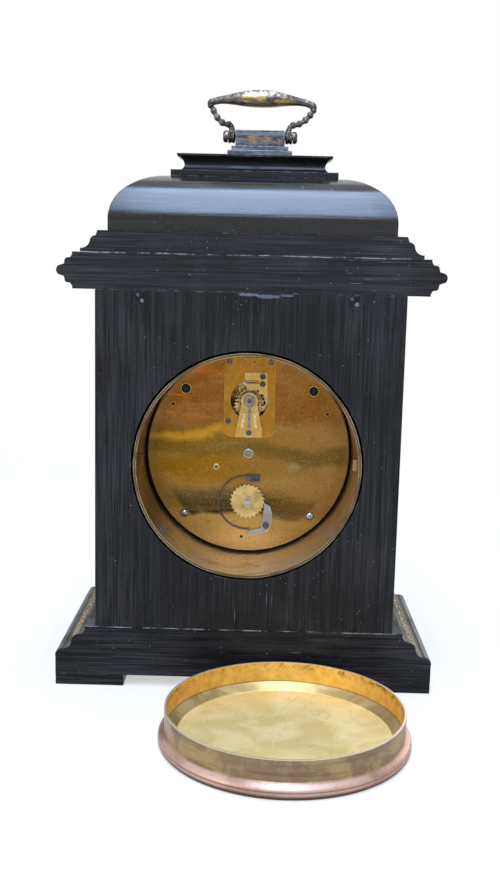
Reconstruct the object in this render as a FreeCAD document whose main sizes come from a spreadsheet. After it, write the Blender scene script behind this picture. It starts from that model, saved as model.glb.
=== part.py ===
import FreeCAD, Part
import math
import os
import Sketcher

# An ebonised bracket clock with a drum movement wound and set from behind.
# Millimetres, +Z up. The origin is the middle of the base on the table: the dial faces -Y
# and the round opening for the movement is in the back, on +Y.
# "Deep" is the distance in front of the case's back face, the plane that everything starts from.

SIZES = (
    # the wooden case
    ("trunk_width", 130.0, "width of the trunk"),
    ("trunk_depth", 77.0, "depth of the trunk, back face to front face"),
    ("trunk_height", 146.1, "height of the trunk between plinth and cornice"),
    ("board", 8.0, "thickness of the trunk's boards"),
    ("foot_height", 4.9, "height of the corner feet"),
    ("foot_length", 30.0, "length of a foot along the base"),
    ("foot_depth", 22.0, "length of a foot from front to back"),
    ("plinth_overhang", 17.5, "how far the plinth stands out from the trunk"),
    ("plinth_face", 7.9, "height of the plinth's plain face"),
    ("nose_run", 1.3, "width of the plinth's rounded nose"),
    ("nose_rise", 3.1, "height of the plinth's rounded nose"),
    ("fillet_run", 1.3, "width of the fillet over the nose"),
    ("fillet_rise", 0.7, "height of the fillet over the nose"),
    ("hollow_run", 4.3, "width of the plinth's hollow"),
    ("hollow_rise", 2.5, "height of the plinth's hollow"),
    ("carved_run", 2.9, "width of the carved ovolo"),
    ("carved_rise", 4.2, "height of the carved ovolo"),
    ("ledge_run", 2.1, "width of the step over the carved ovolo"),
    ("ledge_rise", 0.4, "height of the step over the carved ovolo"),
    ("cap_strip_run", 1.0, "width of the cove under the plinth's top"),
    ("cap_strip_rise", 3.3, "height of the cove under the plinth's top"),
    ("cornice_overhang", 9.4, "how far the lower cornice stands out at its underside"),
    ("scotia_run", 1.2, "width of the coves at the cornice's top and underside"),
    ("scotia_rise", 2.5, "height of those coves"),
    ("bead_run", 1.9, "width of the small beads over and under the torus"),
    ("bead_rise", 0.9, "height of the small beads"),
    ("quirk_run", 0.3, "width of the quirks beside the torus"),
    ("quirk_rise", 1.6, "height of the quirks beside the torus"),
    ("torus_run", 2.4, "how far the torus stands out from its quirks"),
    ("torus_shoulder", 0.8, "height of each slope that leads to the torus"),
    ("torus_round", 3.6, "height of the torus's round"),
    ("upper_overhang", 6.1, "how far the upper cornice stands out at its underside"),
    ("upper_lip", 1.6, "height of the upper cornice's lip"),
    ("upper_cove_run", 4.0, "width of the upper cornice's cove"),
    ("upper_cove_rise", 2.8, "height of the upper cornice's cove"),
    ("upper_ovolo_run", 2.4, "width of the upper cornice's ovolo"),
    ("upper_ovolo_rise", 2.4, "height of the upper cornice's ovolo"),
    ("upper_slope_run", 0.8, "width of the slope under the upper cornice's top"),
    ("upper_slope_rise", 2.1, "height of that slope"),
    ("dome_ledge", 3.6, "ledge of the upper cornice left around the dome"),
    ("dome_wall", 5.9, "height of the dome's upright wall"),
    ("dome_shoulder_run", 8.1, "width of the dome's shoulder"),
    ("dome_shoulder_rise", 13.5, "height of the dome's shoulder"),
    ("dome_crown_rise", 5.1, "height of the dome's crown"),
    ("crest_length", 72.6, "length of the crest moulding's lowest step"),
    ("crest_depth", 20.7, "depth of the crest moulding's lowest step"),
    ("crest_step", 2.8, "height of the crest moulding's lowest step"),
    ("crest_cove_run", 3.3, "width of the step and cove of the crest moulding"),
    ("crest_cove_rise", 2.6, "height of the crest moulding's cove"),
    ("crest_lip_run", 3.2, "how far the crest moulding's top flares out again"),
    ("crest_lip_rise", 3.6, "height of the crest moulding's flare"),
    ("crest_edge", 0.9, "thickness of the crest moulding's top edge"),
    # the carrying handle
    ("handle_aside", 2.0, "how far the handle sits to the left of the clock's middle, seen from the dial"),
    ("socle_length", 28.2, "length of the handle plinth's foot"),
    ("socle_depth", 15.0, "depth of the handle plinth's foot"),
    ("socle_height", 3.9, "height of the handle plinth's foot"),
    ("block_length", 21.6, "length of the handle block"),
    ("block_depth", 8.4, "depth of the handle block"),
    ("block_height", 6.9, "height of the handle block"),
    ("pivot_height", 4.4, "height of the handle's pivot over the foot of its plinth"),
    ("pin_radius", 1.2, "radius of the handle's pin"),
    ("knob_radius", 2.6, "radius of the pin's end knobs"),
    ("knob_length", 2.0, "length of a pin's end knob"),
    ("eye_radius", 2.95, "radius of the handle's eyes"),
    ("eye_length", 3.1, "length of a handle eye along the pin"),
    ("side_play", 0.2, "play at each side of a handle eye"),
    ("arm_radius", 1.05, "radius of the handle's arms"),
    ("grip_height", 16.4, "height of the grip's middle over the pivot"),
    ("grip_length", 32.0, "length of the turned grip"),
    ("grip_radius", 3.9, "radius of the grip's middle"),
    ("grip_end_radius", 1.8, "radius of the grip's ends"),
    ("bow_half", 22.6, "half the width over the handle's arms at their middle line"),
    ("bow_height", 11.2, "height over the pivot where the arms are widest apart"),
    ("elbow_in", 2.2, "how far the arm has turned in at its elbow"),
    ("elbow_drop", 3.2, "how far the elbow is under the widest place"),
    ("wrist_height", 4.6, "height of the arm over the pivot where it meets its eye"),
    # the brass drum and its cap
    ("dial_height", 99.2, "height of the movement's middle over the table"),
    ("tube_radius", 48.7, "outer radius of the drum"),
    ("tube_wall", 1.2, "wall of the drum"),
    ("tube_gap", 0.9, "gap between the drum and the boards"),
    ("seat_width", 4.2, "width of the ring that the movement is screwed to"),
    ("seat_thick", 2.0, "thickness of that ring"),
    ("stop_deep", 11.5, "depth of the cap's stops inside the drum"),
    ("stop_length", 4.0, "length of a cap stop along the drum"),
    ("stop_height", 5.0, "height of a cap stop"),
    ("stop_proud", 1.5, "how far a cap stop stands out of the drum's wall"),
    ("cap_fit", 0.2, "clearance between the cap and the drum"),
    ("cap_wall", 0.8, "wall of the cap"),
    ("cap_height", 14.3, "height of the cap"),
    ("cap_flange", 0.9, "how far the cap's bead stands over the drum's edge"),
    ("cap_bead", 4.6, "height of the cap's bead"),
    ("cap_shoulder", 1.3, "height of the slope over the bead"),
    ("cap_floor", 2.0, "height of the floor's underside over the table"),
    ("cap_sheet", 1.0, "thickness of the cap's floor"),
    ("cap_slope_run", 4.3, "width of the slope between the cap's floor and wall"),
    ("cap_slope_rise", 2.7, "height of that slope"),
    ("cap_aside", 17.6, "how far the cap lies to the left of the clock's middle, seen from the dial"),
    ("cap_behind", 50.7, "how far the cap's middle lies behind the case"),
    # the movement
    ("plate_clear", 1.35, "gap between the edges of the plates and the drum"),
    ("plate_thick", 2.0, "thickness of the movement's plates"),
    ("plate_deep", 37.1, "depth of the back plate's outer face"),
    ("plate_gap", 20.0, "distance between the plates"),
    ("running_fit", 0.05, "radial clearance of every shaft in its hole"),
    ("pillar_edge", 4.95, "distance of the pillars' middles from the edge of the plates"),
    ("pillar_radius", 2.5, "radius of a pillar"),
    ("screw_radius", 1.0, "radius of a plate screw's shank"),
    ("screw_head", 1.85, "radius of a plate screw's head"),
    ("head_height", 1.0, "height of a plate screw's head"),
    ("screw_bite", 3.0, "how far a plate screw goes into its pillar"),
    ("slot_width", 0.5, "width of a screw slot"),
    ("slot_deep", 0.4, "depth of a screw slot"),
    ("pivot_radius", 0.5, "radius of the train's pivots"),
    ("arbor_radius", 1.0, "radius of the train's arbors"),
    ("wheel_thick", 1.0, "thickness of the train's wheels"),
    ("pinion_length", 2.8, "length of the train's pinions"),
    ("end_play", 0.2, "play of an arbor between the plates"),
    ("barrel_drop", 22.3, "distance of the barrel under the middle"),
    ("barrel_radius", 18.4, "outer radius of the barrel"),
    ("barrel_wall", 1.0, "wall of the barrel"),
    ("barrel_deep", 41.6, "depth of the barrel's back end"),
    ("barrel_length", 13.0, "length of the barrel"),
    ("great_thick", 1.6, "thickness of the barrel's toothed ring"),
    ("core_radius", 4.0, "radius of the winding arbor's core"),
    ("wind_radius", 2.0, "radius of the winding arbor in the barrel"),
    ("wind_pivot", 1.5, "radius of the winding arbor in the plates"),
    ("square_side", 2.4, "side of the winding square"),
    ("square_length", 6.2, "length of the winding square behind the ratchet"),
    ("spring_thick", 0.5, "thickness of the mainspring"),
    ("spring_gap", 0.5, "gap left inside and outside the mainspring"),
    ("ratchet_radius", 8.1, "radius of the ratchet wheel"),
    ("ratchet_tooth", 1.0, "depth of the ratchet's teeth"),
    ("ratchet_thick", 1.5, "thickness of the ratchet wheel"),
    ("ratchet_lift", 0.3, "gap between the ratchet and the plate"),
    ("click_out", 8.84, "sideways distance of the click's pivot from the ratchet's middle"),
    ("click_drop", 11.3, "distance of the click's pivot under the ratchet's middle"),
    ("click_bore", 0.95, "radius of the click's hole"),
    ("click_thick", 1.3, "thickness of the click"),
    ("click_head", 1.5, "radius of the click screw's head"),
    ("wire_radius", 12.5, "radius of the click spring's bow"),
    ("wire_width", 0.5, "width of the click spring"),
    ("wire_height", 0.8, "depth of the click spring's wire"),
    ("wire_lift", 0.5, "gap between the click spring's wire and the plate"),
    ("wire_aside", 0.8, "sideways distance of the bow's middle from the ratchet's"),
    ("wire_drop", 0.9, "distance of the bow's middle under the ratchet's"),
    ("wire_foot", 6.4, "length of the click spring's foot"),
    ("wire_foot_height", 3.2, "height of the click spring's foot"),
    ("third_out", 9.0, "sideways distance of the third arbor"),
    ("third_up", 17.5, "distance of the third arbor over the middle"),
    ("fourth_out", 9.5, "sideways distance of the fourth arbor"),
    ("fourth_up", 20.0, "distance of the fourth arbor over the middle"),
    ("minute_drop", 11.2, "distance of the minute wheel under the middle"),
    ("motion_thick", 0.8, "thickness of the minute and hour wheels"),
    ("cannon_bore", 0.95, "radius of the hole through the cannon pinion"),
    ("cannon_radius", 1.4, "outer radius of the cannon pinion's pipe"),
    ("hour_pipe", 2.0, "outer radius of the hour wheel's pipe"),
    # the platform with the escapement
    ("platform_width", 23.2, "width of the platform"),
    ("platform_foot", 7.7, "height of the platform's lower edge over the middle"),
    ("platform_edge", 0.75, "gap between the platform's upper corners and the edge of the plate"),
    ("platform_thick", 1.2, "thickness of the platform"),
    ("balance_up", 24.4, "height of the balance over the middle"),
    ("lever_up", 30.8, "height of the lever's arbor over the middle"),
    ("escape_up", 35.5, "height of the escape wheel over the middle"),
    ("balance_window", 8.7, "radius of the round opening for the balance"),
    ("escape_window", 2.0, "radius of the round opening over the escape wheel"),
    ("escape_well", 5.4, "radius of the hollow in the back plate for the escape wheel"),
    ("balance_radius", 5.5, "radius of the balance"),
    ("balance_rim", 0.9, "width of the balance's rim"),
    ("staff_radius", 0.45, "radius of the balance staff"),
    ("fine_pivot", 0.25, "radius of the escapement's pivots"),
    ("fine_thick", 0.6, "thickness of the lever and the escape wheel"),
    ("escape_radius", 3.4, "radius of the escape wheel"),
    ("cock_thick", 1.1, "thickness of the balance cock"),
    ("cock_lift", 0.8, "height of the cock's foot over the platform"),
    ("cock_ring", 3.8, "radius of the cock's round end"),
    ("cock_half", 6.2, "half the width of the cock's foot"),
    ("bridge_thick", 0.7, "thickness of the escape bridge"),
    ("potence_thick", 1.2, "thickness of the lower bridge"),
    ("potence_width", 10.0, "width of the lower bridge"),
    ("potence_lap", 3.3, "how far the lower bridge laps past the openings in the plate"),
    ("platform_round", 3.2, "radius of the platform's lower corners"),
    ("roller_radius", 1.3, "radius of the roller on the balance staff"),
    ("fine_screw", 0.7, "radius of a platform screw's shank"),
    ("fine_head", 1.3, "radius of a platform screw's head"),
    ("fine_head_height", 0.6, "height of a platform screw's head"),
    ("end_radius", 1.7, "radius of the ring inside the index"),
    ("index_thick", 0.5, "thickness of the regulator index"),
    ("index_ring", 2.9, "outer radius of the index's ring"),
    ("index_half", 0.8, "half the width of the index's pointer"),
    ("index_reach", 12.6, "length of the index's pointer"),
    # dial, hands and bezel
    ("dial_deep", 68.0, "depth of the dial's back"),
    ("dial_thick", 1.0, "thickness of the dial"),
    ("dial_gap", 0.6, "gap between the dial's edge and the drum"),
    ("dial_hole", 2.6, "radius of the dial's middle hole"),
    ("dial_foot", 1.5, "radius of a dial foot"),
    ("dial_foot_edge", 10.9, "distance of the dial's feet from its edge"),
    ("hand_thick", 0.5, "thickness of a hand"),
    ("hour_gap", 1.0, "gap between the dial and the hour hand"),
    ("hand_gap", 0.9, "gap between the two hands"),
    ("minute_track", 8.9, "distance of the minute hand's tip from the dial's edge"),
    ("hour_track", 20.9, "distance of the hour hand's tip from the dial's edge"),
    ("hand_boss", 2.9, "radius of a hand's boss"),
    ("bezel_lap", 6.8, "how far the bezel reaches out over the case around the drum"),
    ("sight_lap", 1.9, "how far the bezel's opening is inside the drum"),
    ("bezel_height", 7.4, "how far the bezel stands off the case"),
    ("bezel_edge", 1.6, "thickness of the bezel's outer edge"),
    ("bezel_clear", 0.15, "gap between the bezel and the case"),
    ("glass_lap", 2.3, "how far the glass reaches behind the bezel"),
    ("glass_thick", 1.6, "thickness of the glass"),
    ("glass_gap", 0.1, "gap around the glass"),
    ("glass_back", 3.4, "distance of the glass in front of the case"),
    ("hinge_gap", 2.6, "distance of the hinge pin outside the bezel"),
    ("hinge_out", 2.1, "distance of the hinge pin in front of the case"),
    ("knuckle_radius", 1.9, "radius of the hinge's knuckles"),
    ("hinge_pin_radius", 0.9, "radius of the hinge pin"),
    ("knuckle_half", 4.0, "half the length of the bezel's knuckle"),
    ("knuckle_gap", 0.2, "gap between the knuckles"),
    ("leaf_length", 5.0, "length of each knuckle on the case"),
    ("leaf_width", 4.6, "width of the hinge's leaf on the case"),
    ("leaf_thick", 0.6, "thickness of the hinge's leaf"),
)

# Teeth of the train from the barrel to the escape wheel, and of the motion work.
BARREL_TEETH, CENTRE_LEAVES = 80, 10
CENTRE_TEETH, THIRD_LEAVES = 64, 8
THIRD_TEETH, FOURTH_LEAVES = 60, 8
FOURTH_TEETH, ESCAPE_LEAVES = 63, 7
CANNON_TEETH, MINUTE_TEETH = 14, 42
MINUTE_LEAVES, HOUR_TEETH = 12, 48
RATCHET_TEETH = 24
ESCAPE_TEETH = 15

QUARTER = math.sqrt(0.5)
MINUTE_HAND_AT = 54.0
HOUR_HAND_AT = 304.5

doc = FreeCAD.newDocument("bracket_clock")
pieces = []


class Term:
    """A number that also carries the sheet expression it comes from."""

    def __init__(self, value, text):
        self.value = float(value)
        self.text = text

    def __add__(self, other):
        other = term(other)
        return Term(self.value + other.value, "(%s + %s)" % (self.text, other.text))

    def __sub__(self, other):
        other = term(other)
        return Term(self.value - other.value, "(%s - %s)" % (self.text, other.text))

    def __mul__(self, other):
        other = term(other)
        return Term(self.value * other.value, "(%s * %s)" % (self.text, other.text))

    def __truediv__(self, other):
        other = term(other)
        return Term(self.value / other.value, "(%s / %s)" % (self.text, other.text))

    def __neg__(self):
        return Term(-self.value, "(0 - %s)" % self.text)

    def __rsub__(self, other):
        return term(other) - self

    __radd__ = __add__
    __rmul__ = __mul__


def term(item):
    return item if isinstance(item, Term) else Term(item, "%.9g" % item)


def root(item):
    return Term(math.sqrt(item.value), "sqrt(%s)" % item.text)


class Sheet:
    """The driving dimensions: each is a cell with an alias, and here a Term of that name."""

    def __init__(self, sizes):
        cells = doc.addObject("Spreadsheet::Sheet", "Sizes")
        for row, (name, size, note) in enumerate(sizes, 1):
            cells.set("A%d" % row, note)
            cells.set("B%d" % row, str(size))
            cells.setAlias("B%d" % row, name)
        doc.recompute()
        for name, size, note in sizes:
            setattr(self, name, Term(cells.get(name), "Sizes." + name))


s = Sheet(SIZES)


def bind(item, place, value):
    """Set a property by its expression, or by its number where nothing in the sheet drives it."""
    value = term(value)
    if "Sizes" in value.text:
        item.setExpression(place, value.text)
    return value.value


def constrain(flat, kind, place, value):
    """Bind the horizontal or vertical position of a sketch point, measured from the origin."""
    value = term(value)
    if abs(value.value) < 1e-9 and "Sizes" not in value.text:
        axis = -2 if kind == "DistanceX" else -1
        flat.addConstraint(Sketcher.Constraint("PointOnObject", place[0], place[1], axis))
        return
    index = flat.addConstraint(Sketcher.Constraint(kind, -1, 1, place[0], place[1], value.value))
    bind(flat, "Constraints[%d]" % index, value)


def vector(x, y):
    return FreeCAD.Vector(x.value, y.value, 0)


def draw_side(flat, begin, end, bulge):
    """Add one side of an outline, straight or an arc, and return where its two ends are."""
    if not bulge:
        index = flat.addGeometry(Part.LineSegment(begin, end))
        return index, 1, 2
    chord = end - begin
    radius = chord.Length * abs(bulge)
    turned = FreeCAD.Vector(chord.y, -chord.x, 0).normalize()
    reach = math.sqrt(radius ** 2 - (chord.Length / 2) ** 2)
    middle = begin + chord / 2 - turned * reach * math.copysign(1, bulge)
    first, last = (begin, end) if bulge > 0 else (end, begin)
    low = math.atan2(first.y - middle.y, first.x - middle.x)
    high = math.atan2(last.y - middle.y, last.x - middle.x)
    circle = Part.Circle(middle, FreeCAD.Vector(0, 0, 1), radius)
    index = flat.addGeometry(Part.ArcOfCircle(circle, low, high))
    return (index, 1, 2) if bulge > 0 else (index, 2, 1)


def outline(flat, corners):
    """Draw corners (x, y, bulge). A bulge is the radius of the side that leaves the corner,
    as a share of its chord: above 0 it swells to the right of travel, below 0 to the left."""
    corners = [tuple(term(part) for part in corner[:2]) + tuple(corner[2:]) for corner in corners]
    corners = [corner if len(corner) == 3 else corner + (0,) for corner in corners]
    count = len(corners)
    sides = []
    for index in range(count):
        x, y, bulge = corners[index]
        next_x, next_y = corners[(index + 1) % count][:2]
        side = draw_side(flat, vector(x, y), vector(next_x, next_y), bulge)
        sides.append(side)
        if bulge:
            run, rise = next_x - x, next_y - y
            radius = root(run * run + rise * rise) * abs(bulge)
            number = flat.addConstraint(Sketcher.Constraint("Radius", side[0], radius.value))
            bind(flat, "Constraints[%d]" % number, radius)
    for index, side in enumerate(sides):
        constrain(flat, "DistanceX", (side[0], side[1]), corners[index][0])
        constrain(flat, "DistanceY", (side[0], side[1]), corners[index][1])
        follower = sides[(index + 1) % len(sides)]
        flat.addConstraint(Sketcher.Constraint("Coincident", side[0], side[2], follower[0], follower[1]))


def circle(x, y, radius):
    """An outline that is a circle, for sketch()."""
    return ("circle", term(x), term(y), term(radius))


def rectangle(left, low, right, high):
    return [(left, low), (right, low), (right, high), (left, high)]


def sketch(body, role, start, wires):
    """Draw wires on one of the body's own origin planes, moved by start along the plane's axis."""
    plane = [part for part in body.Origin.OriginFeatures if part.Role == role][0]
    flat = body.newObject("Sketcher::SketchObject", body.Name + "_sketch")
    flat.AttachmentSupport = [(plane, "")]
    flat.MapMode = "FlatFace"
    shift = -term(start) if role == "XZ_Plane" else term(start)
    offset = FreeCAD.Placement(FreeCAD.Vector(0, 0, shift.value), FreeCAD.Rotation())
    flat.AttachmentOffset = offset
    bind(flat, "AttachmentOffset.Base.z", shift)
    for wire in wires:
        if wire[0] == "circle":
            x, y, radius = wire[1:]
            round_one = Part.Circle(vector(x, y), FreeCAD.Vector(0, 0, 1), radius.value)
            index = flat.addGeometry(round_one)
            constrain(flat, "DistanceX", (index, 3), x)
            constrain(flat, "DistanceY", (index, 3), y)
            number = flat.addConstraint(Sketcher.Constraint("Radius", index, radius.value))
            bind(flat, "Constraints[%d]" % number, radius)
        else:
            outline(flat, wire)
    return flat


def new_body(name, x=0, y=0, z=0, turn=0):
    """A named sub-part; turn is in degrees about its own Y axis."""
    body = doc.addObject("PartDesign::Body", name)
    body.Label = name
    where = FreeCAD.Vector(term(x).value, term(y).value, term(z).value)
    body.Placement = FreeCAD.Placement(where, FreeCAD.Rotation(FreeCAD.Vector(0, 1, 0), turn))
    for axis, value in (("x", x), ("y", y), ("z", z)):
        bind(body, "Placement.Base." + axis, value)
    pieces.append(body)
    return body


def pad(body, role, start, length, *wires):
    """Extrude wires: on the XZ plane towards -Y, on the XY plane upwards, on YZ towards +X."""
    flat = sketch(body, role, start, wires)
    feature = body.newObject("PartDesign::Pad", body.Name + "_pad")
    feature.Profile = flat
    feature.Length = bind(feature, "Length", length)
    return feature


def pocket(body, role, start, length, *wires):
    """Cut wires out of the body, in the direction in which pad would have added them."""
    flat = sketch(body, role, start, wires)
    feature = body.newObject("PartDesign::Pocket", body.Name + "_pocket")
    feature.Profile = flat
    feature.Length = bind(feature, "Length", length)
    feature.Reversed = True
    return feature


def trim(body, *wires):
    """Cut wires drawn on the YZ plane right across the body, to both sides."""
    flat = sketch(body, "YZ_Plane", 0, wires)
    feature = body.newObject("PartDesign::Pocket", body.Name + "_trim")
    feature.Profile = flat
    feature.Type = "ThroughAll"
    feature.SideType = "Symmetric"
    return feature


def lathe(body, role, axis, corners):
    """Turn an outline about an axis of its sketch."""
    flat = sketch(body, role, 0, [corners])
    feature = body.newObject("PartDesign::Revolution", body.Name + "_turning")
    feature.Profile = flat
    feature.ReferenceAxis = (flat, [axis])
    feature.Angle = 360
    return feature


back = (s.trunk_depth + s.plinth_overhang) / 2
front = back - s.trunk_depth
half = s.trunk_width / 2


def deep(distance):
    """The Y coordinate of what lies a distance in front of the case's back face."""
    return back - distance


# ---------------------------------------------------------------- the wooden case

plinth_bottom = s.foot_height
plinth_height = (s.plinth_face + s.nose_rise + s.fillet_rise + s.hollow_rise
                 + s.carved_rise + s.ledge_rise + s.cap_strip_rise)
trunk_bottom = plinth_bottom + plinth_height
cornice_bottom = trunk_bottom + s.trunk_height
cornice_height = (2 * (s.scotia_rise + s.bead_rise + s.quirk_rise + s.torus_shoulder)
                  + s.torus_round)
upper_bottom = cornice_bottom + cornice_height
upper_height = s.upper_lip + s.upper_cove_rise + s.upper_ovolo_rise + s.upper_slope_rise
upper_top = s.upper_overhang - s.upper_cove_run - s.upper_ovolo_run - s.upper_slope_run
dome_out = upper_top - s.dome_ledge
dome_bottom = upper_bottom + upper_height
dome_height = s.dome_wall + s.dome_shoulder_rise + s.dome_crown_rise
crest_out = s.crest_length / 2 - half
crest_ahead = (s.crest_depth - s.trunk_depth - upper_top) / 2
crest_middle = (back + front - upper_top) / 2
crest_bottom = dome_bottom + dome_height
crest_height = s.crest_step + s.crest_cove_rise + s.crest_lip_rise + s.crest_edge
socle_bottom = crest_bottom + crest_height

SPARE = 2.0


def profile(overhang, members):
    """Corners (out, up, bulge) of a moulding: each member steps in by run and up by rise."""
    corners = []
    out, up = term(overhang), term(0)
    for run, rise, bulge in members:
        corners.append((out, up, bulge))
        out, up = out - run, up + rise
    corners.append((out, up, 0))
    return corners


def moulded(name, bottom, corners, setback=None, ahead=None):
    """A slab moulded on its front and sides, and on its back too where a setback is given.
    The faces on front and back have their own corners where those are given as ahead."""
    ahead = ahead or corners
    body = new_body(name, 0, 0, bottom)
    right = [(half + out, up, bulge) for out, up, bulge in corners]
    left = []
    for index in range(len(corners) - 1, -1, -1):
        out, up = corners[index][:2]
        left.append((-(half + out), up, corners[index - 1][2] if index else 0))
    pad(body, "XZ_Plane", back, s.trunk_depth + s.plinth_overhang, right + left)
    low, high = corners[0][1] - SPARE, corners[-1][1] + SPARE
    far = front - s.plinth_overhang - SPARE
    faces = [(front - out, up, -bulge) for out, up, bulge in ahead]
    first, last = faces[0][0], faces[-1][0]
    cutters = [[(far, low), (first, low)] + faces + [(last, high), (far, high)]]
    if setback is not None:
        rear = back + SPARE
        faces = []
        for index in range(len(corners) - 1, -1, -1):
            out, up = ahead[index][:2]
            faces.append((back + out + setback, up, -ahead[index - 1][2] if index else 0))
        first, last = faces[0][0], faces[-1][0]
        cutters.append([(rear, high), (first, high)] + faces + [(last, low), (rear, low)])
    trim(body, *cutters)
    return body


def make_boards():
    face = rectangle(-half, trunk_bottom, half, cornice_bottom)
    wide, close = s.tube_radius + s.tube_gap, s.tube_radius
    for name, start, radius in (("back_board", back, wide), ("front_board", front + s.board, close)):
        pad(new_body(name), "XZ_Plane", start, s.board, face, circle(0, s.dial_height, radius))
    inner = half - s.board
    for name, left, right in (("left_side_panel", -half, -inner), ("right_side_panel", inner, half)):
        side = rectangle(left, trunk_bottom, right, cornice_bottom)
        pad(new_body(name), "XZ_Plane", back - s.board, s.trunk_depth - 2 * s.board, side)


def make_feet():
    body = new_body("corner_feet")
    outer = half + s.plinth_overhang
    edge = front - s.plinth_overhang
    feet = []
    for left, right in ((-outer, s.foot_length - outer), (outer - s.foot_length, outer)):
        for low, high in ((edge, edge + s.foot_depth), (back - s.foot_depth, back)):
            feet.append(rectangle(left, low, right, high))
    pad(body, "XY_Plane", 0, s.foot_height, *feet)


def make_mouldings():
    moulded("base_plinth", plinth_bottom, profile(s.plinth_overhang, (
        (0, s.plinth_face, 0),
        (s.nose_run, s.nose_rise, 0.8),
        (s.fillet_run, s.fillet_rise, 0),
        (s.hollow_run, s.hollow_rise, -0.75),
        (s.carved_run, s.carved_rise, 0.75),
        (s.ledge_run, s.ledge_rise, 0),
        (s.cap_strip_run, s.cap_strip_rise, -0.9))))
    moulded("lower_cornice", cornice_bottom, profile(s.cornice_overhang, (
        (-s.scotia_run, s.scotia_rise, -0.9),
        (-s.bead_run, s.bead_rise, 0.7),
        (-s.quirk_run, s.quirk_rise, 0),
        (-s.torus_run, s.torus_shoulder, 0),
        (0, s.torus_round, 0.65),
        (s.torus_run, s.torus_shoulder, 0),
        (s.quirk_run, s.quirk_rise, 0),
        (s.bead_run, s.bead_rise, 0.7),
        (s.scotia_run, s.scotia_rise, -0.9))))
    moulded("upper_cornice", upper_bottom, profile(s.upper_overhang, (
        (0, s.upper_lip, 0),
        (s.upper_cove_run, s.upper_cove_rise, -0.75),
        (s.upper_ovolo_run, s.upper_ovolo_rise, 0.75),
        (s.upper_slope_run, s.upper_slope_rise, 0))))
    moulded("dome", dome_bottom, dome_profile(crest_out), -upper_top, dome_profile(crest_ahead))
    members = ((0, s.crest_step, 0),
               (s.crest_cove_run, 0, 0),
               (s.crest_cove_run * 0.7, s.crest_cove_rise, -0.8),
               (-s.crest_lip_run, s.crest_lip_rise, -0.9),
               (0, s.crest_edge, 0))
    moulded("crest_moulding", crest_bottom, profile(crest_out, members), -upper_top,
            profile(crest_ahead, members))


def dome_profile(inset):
    """The dome's profile, whose crown ends under the edge of the crest moulding."""
    crown = dome_out - s.dome_shoulder_run - inset
    return profile(dome_out, ((0, s.dome_wall, 0),
                              (s.dome_shoulder_run, s.dome_shoulder_rise, 1.15),
                              (crown, s.dome_crown_rise, 1.77)))


# ---------------------------------------------------------------- the carrying handle

handle_x = -s.handle_aside
pivot_z = socle_bottom + s.pivot_height + s.socle_height


def centred(width, low, high):
    return rectangle(-width / 2, low, width / 2, high)


def make_handle_plinth():
    body = new_body("handle_plinth", handle_x, crest_middle, socle_bottom)
    step = s.socle_height / 2
    inner = (s.socle_length + s.block_length) / 2
    for start, length, depth in ((0, s.socle_length, s.socle_depth),
                                 (step, inner, (s.socle_depth + s.block_depth) / 2)):
        pad(body, "XY_Plane", start, step, centred(length, -depth / 2, depth / 2))
    block = centred(s.block_length, -s.block_depth / 2, s.block_depth / 2)
    pad(body, "XY_Plane", s.socle_height, s.block_height, block)
    bore = circle(0, s.socle_height + s.pivot_height, s.pin_radius)
    pocket(body, "YZ_Plane", -s.block_length, 2 * s.block_length, bore)


def make_handle_pin():
    body = new_body("handle_pin", handle_x, crest_middle, pivot_z)
    reach = s.block_length / 2 + s.eye_length + 2 * s.side_play
    end = reach + s.knob_length
    rim = s.knob_radius * 0.6
    corners = [(-end, 0), (end, 0), (end, rim, 0.8), (end - s.knob_length / 2, s.knob_radius),
               (reach, s.knob_radius), (reach, s.pin_radius), (-reach, s.pin_radius),
               (-reach, s.knob_radius), (s.knob_length / 2 - end, s.knob_radius, 0.8), (-end, rim)]
    lathe(body, "XZ_Plane", "H_Axis", corners)


def tube(first, second, radius):
    """A round bar between two points, with a round end at the second."""
    run = second - first
    bar = Part.makeCylinder(radius, run.Length, first, run)
    return bar.fuse(Part.makeSphere(radius * 1.0001, second))


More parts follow.
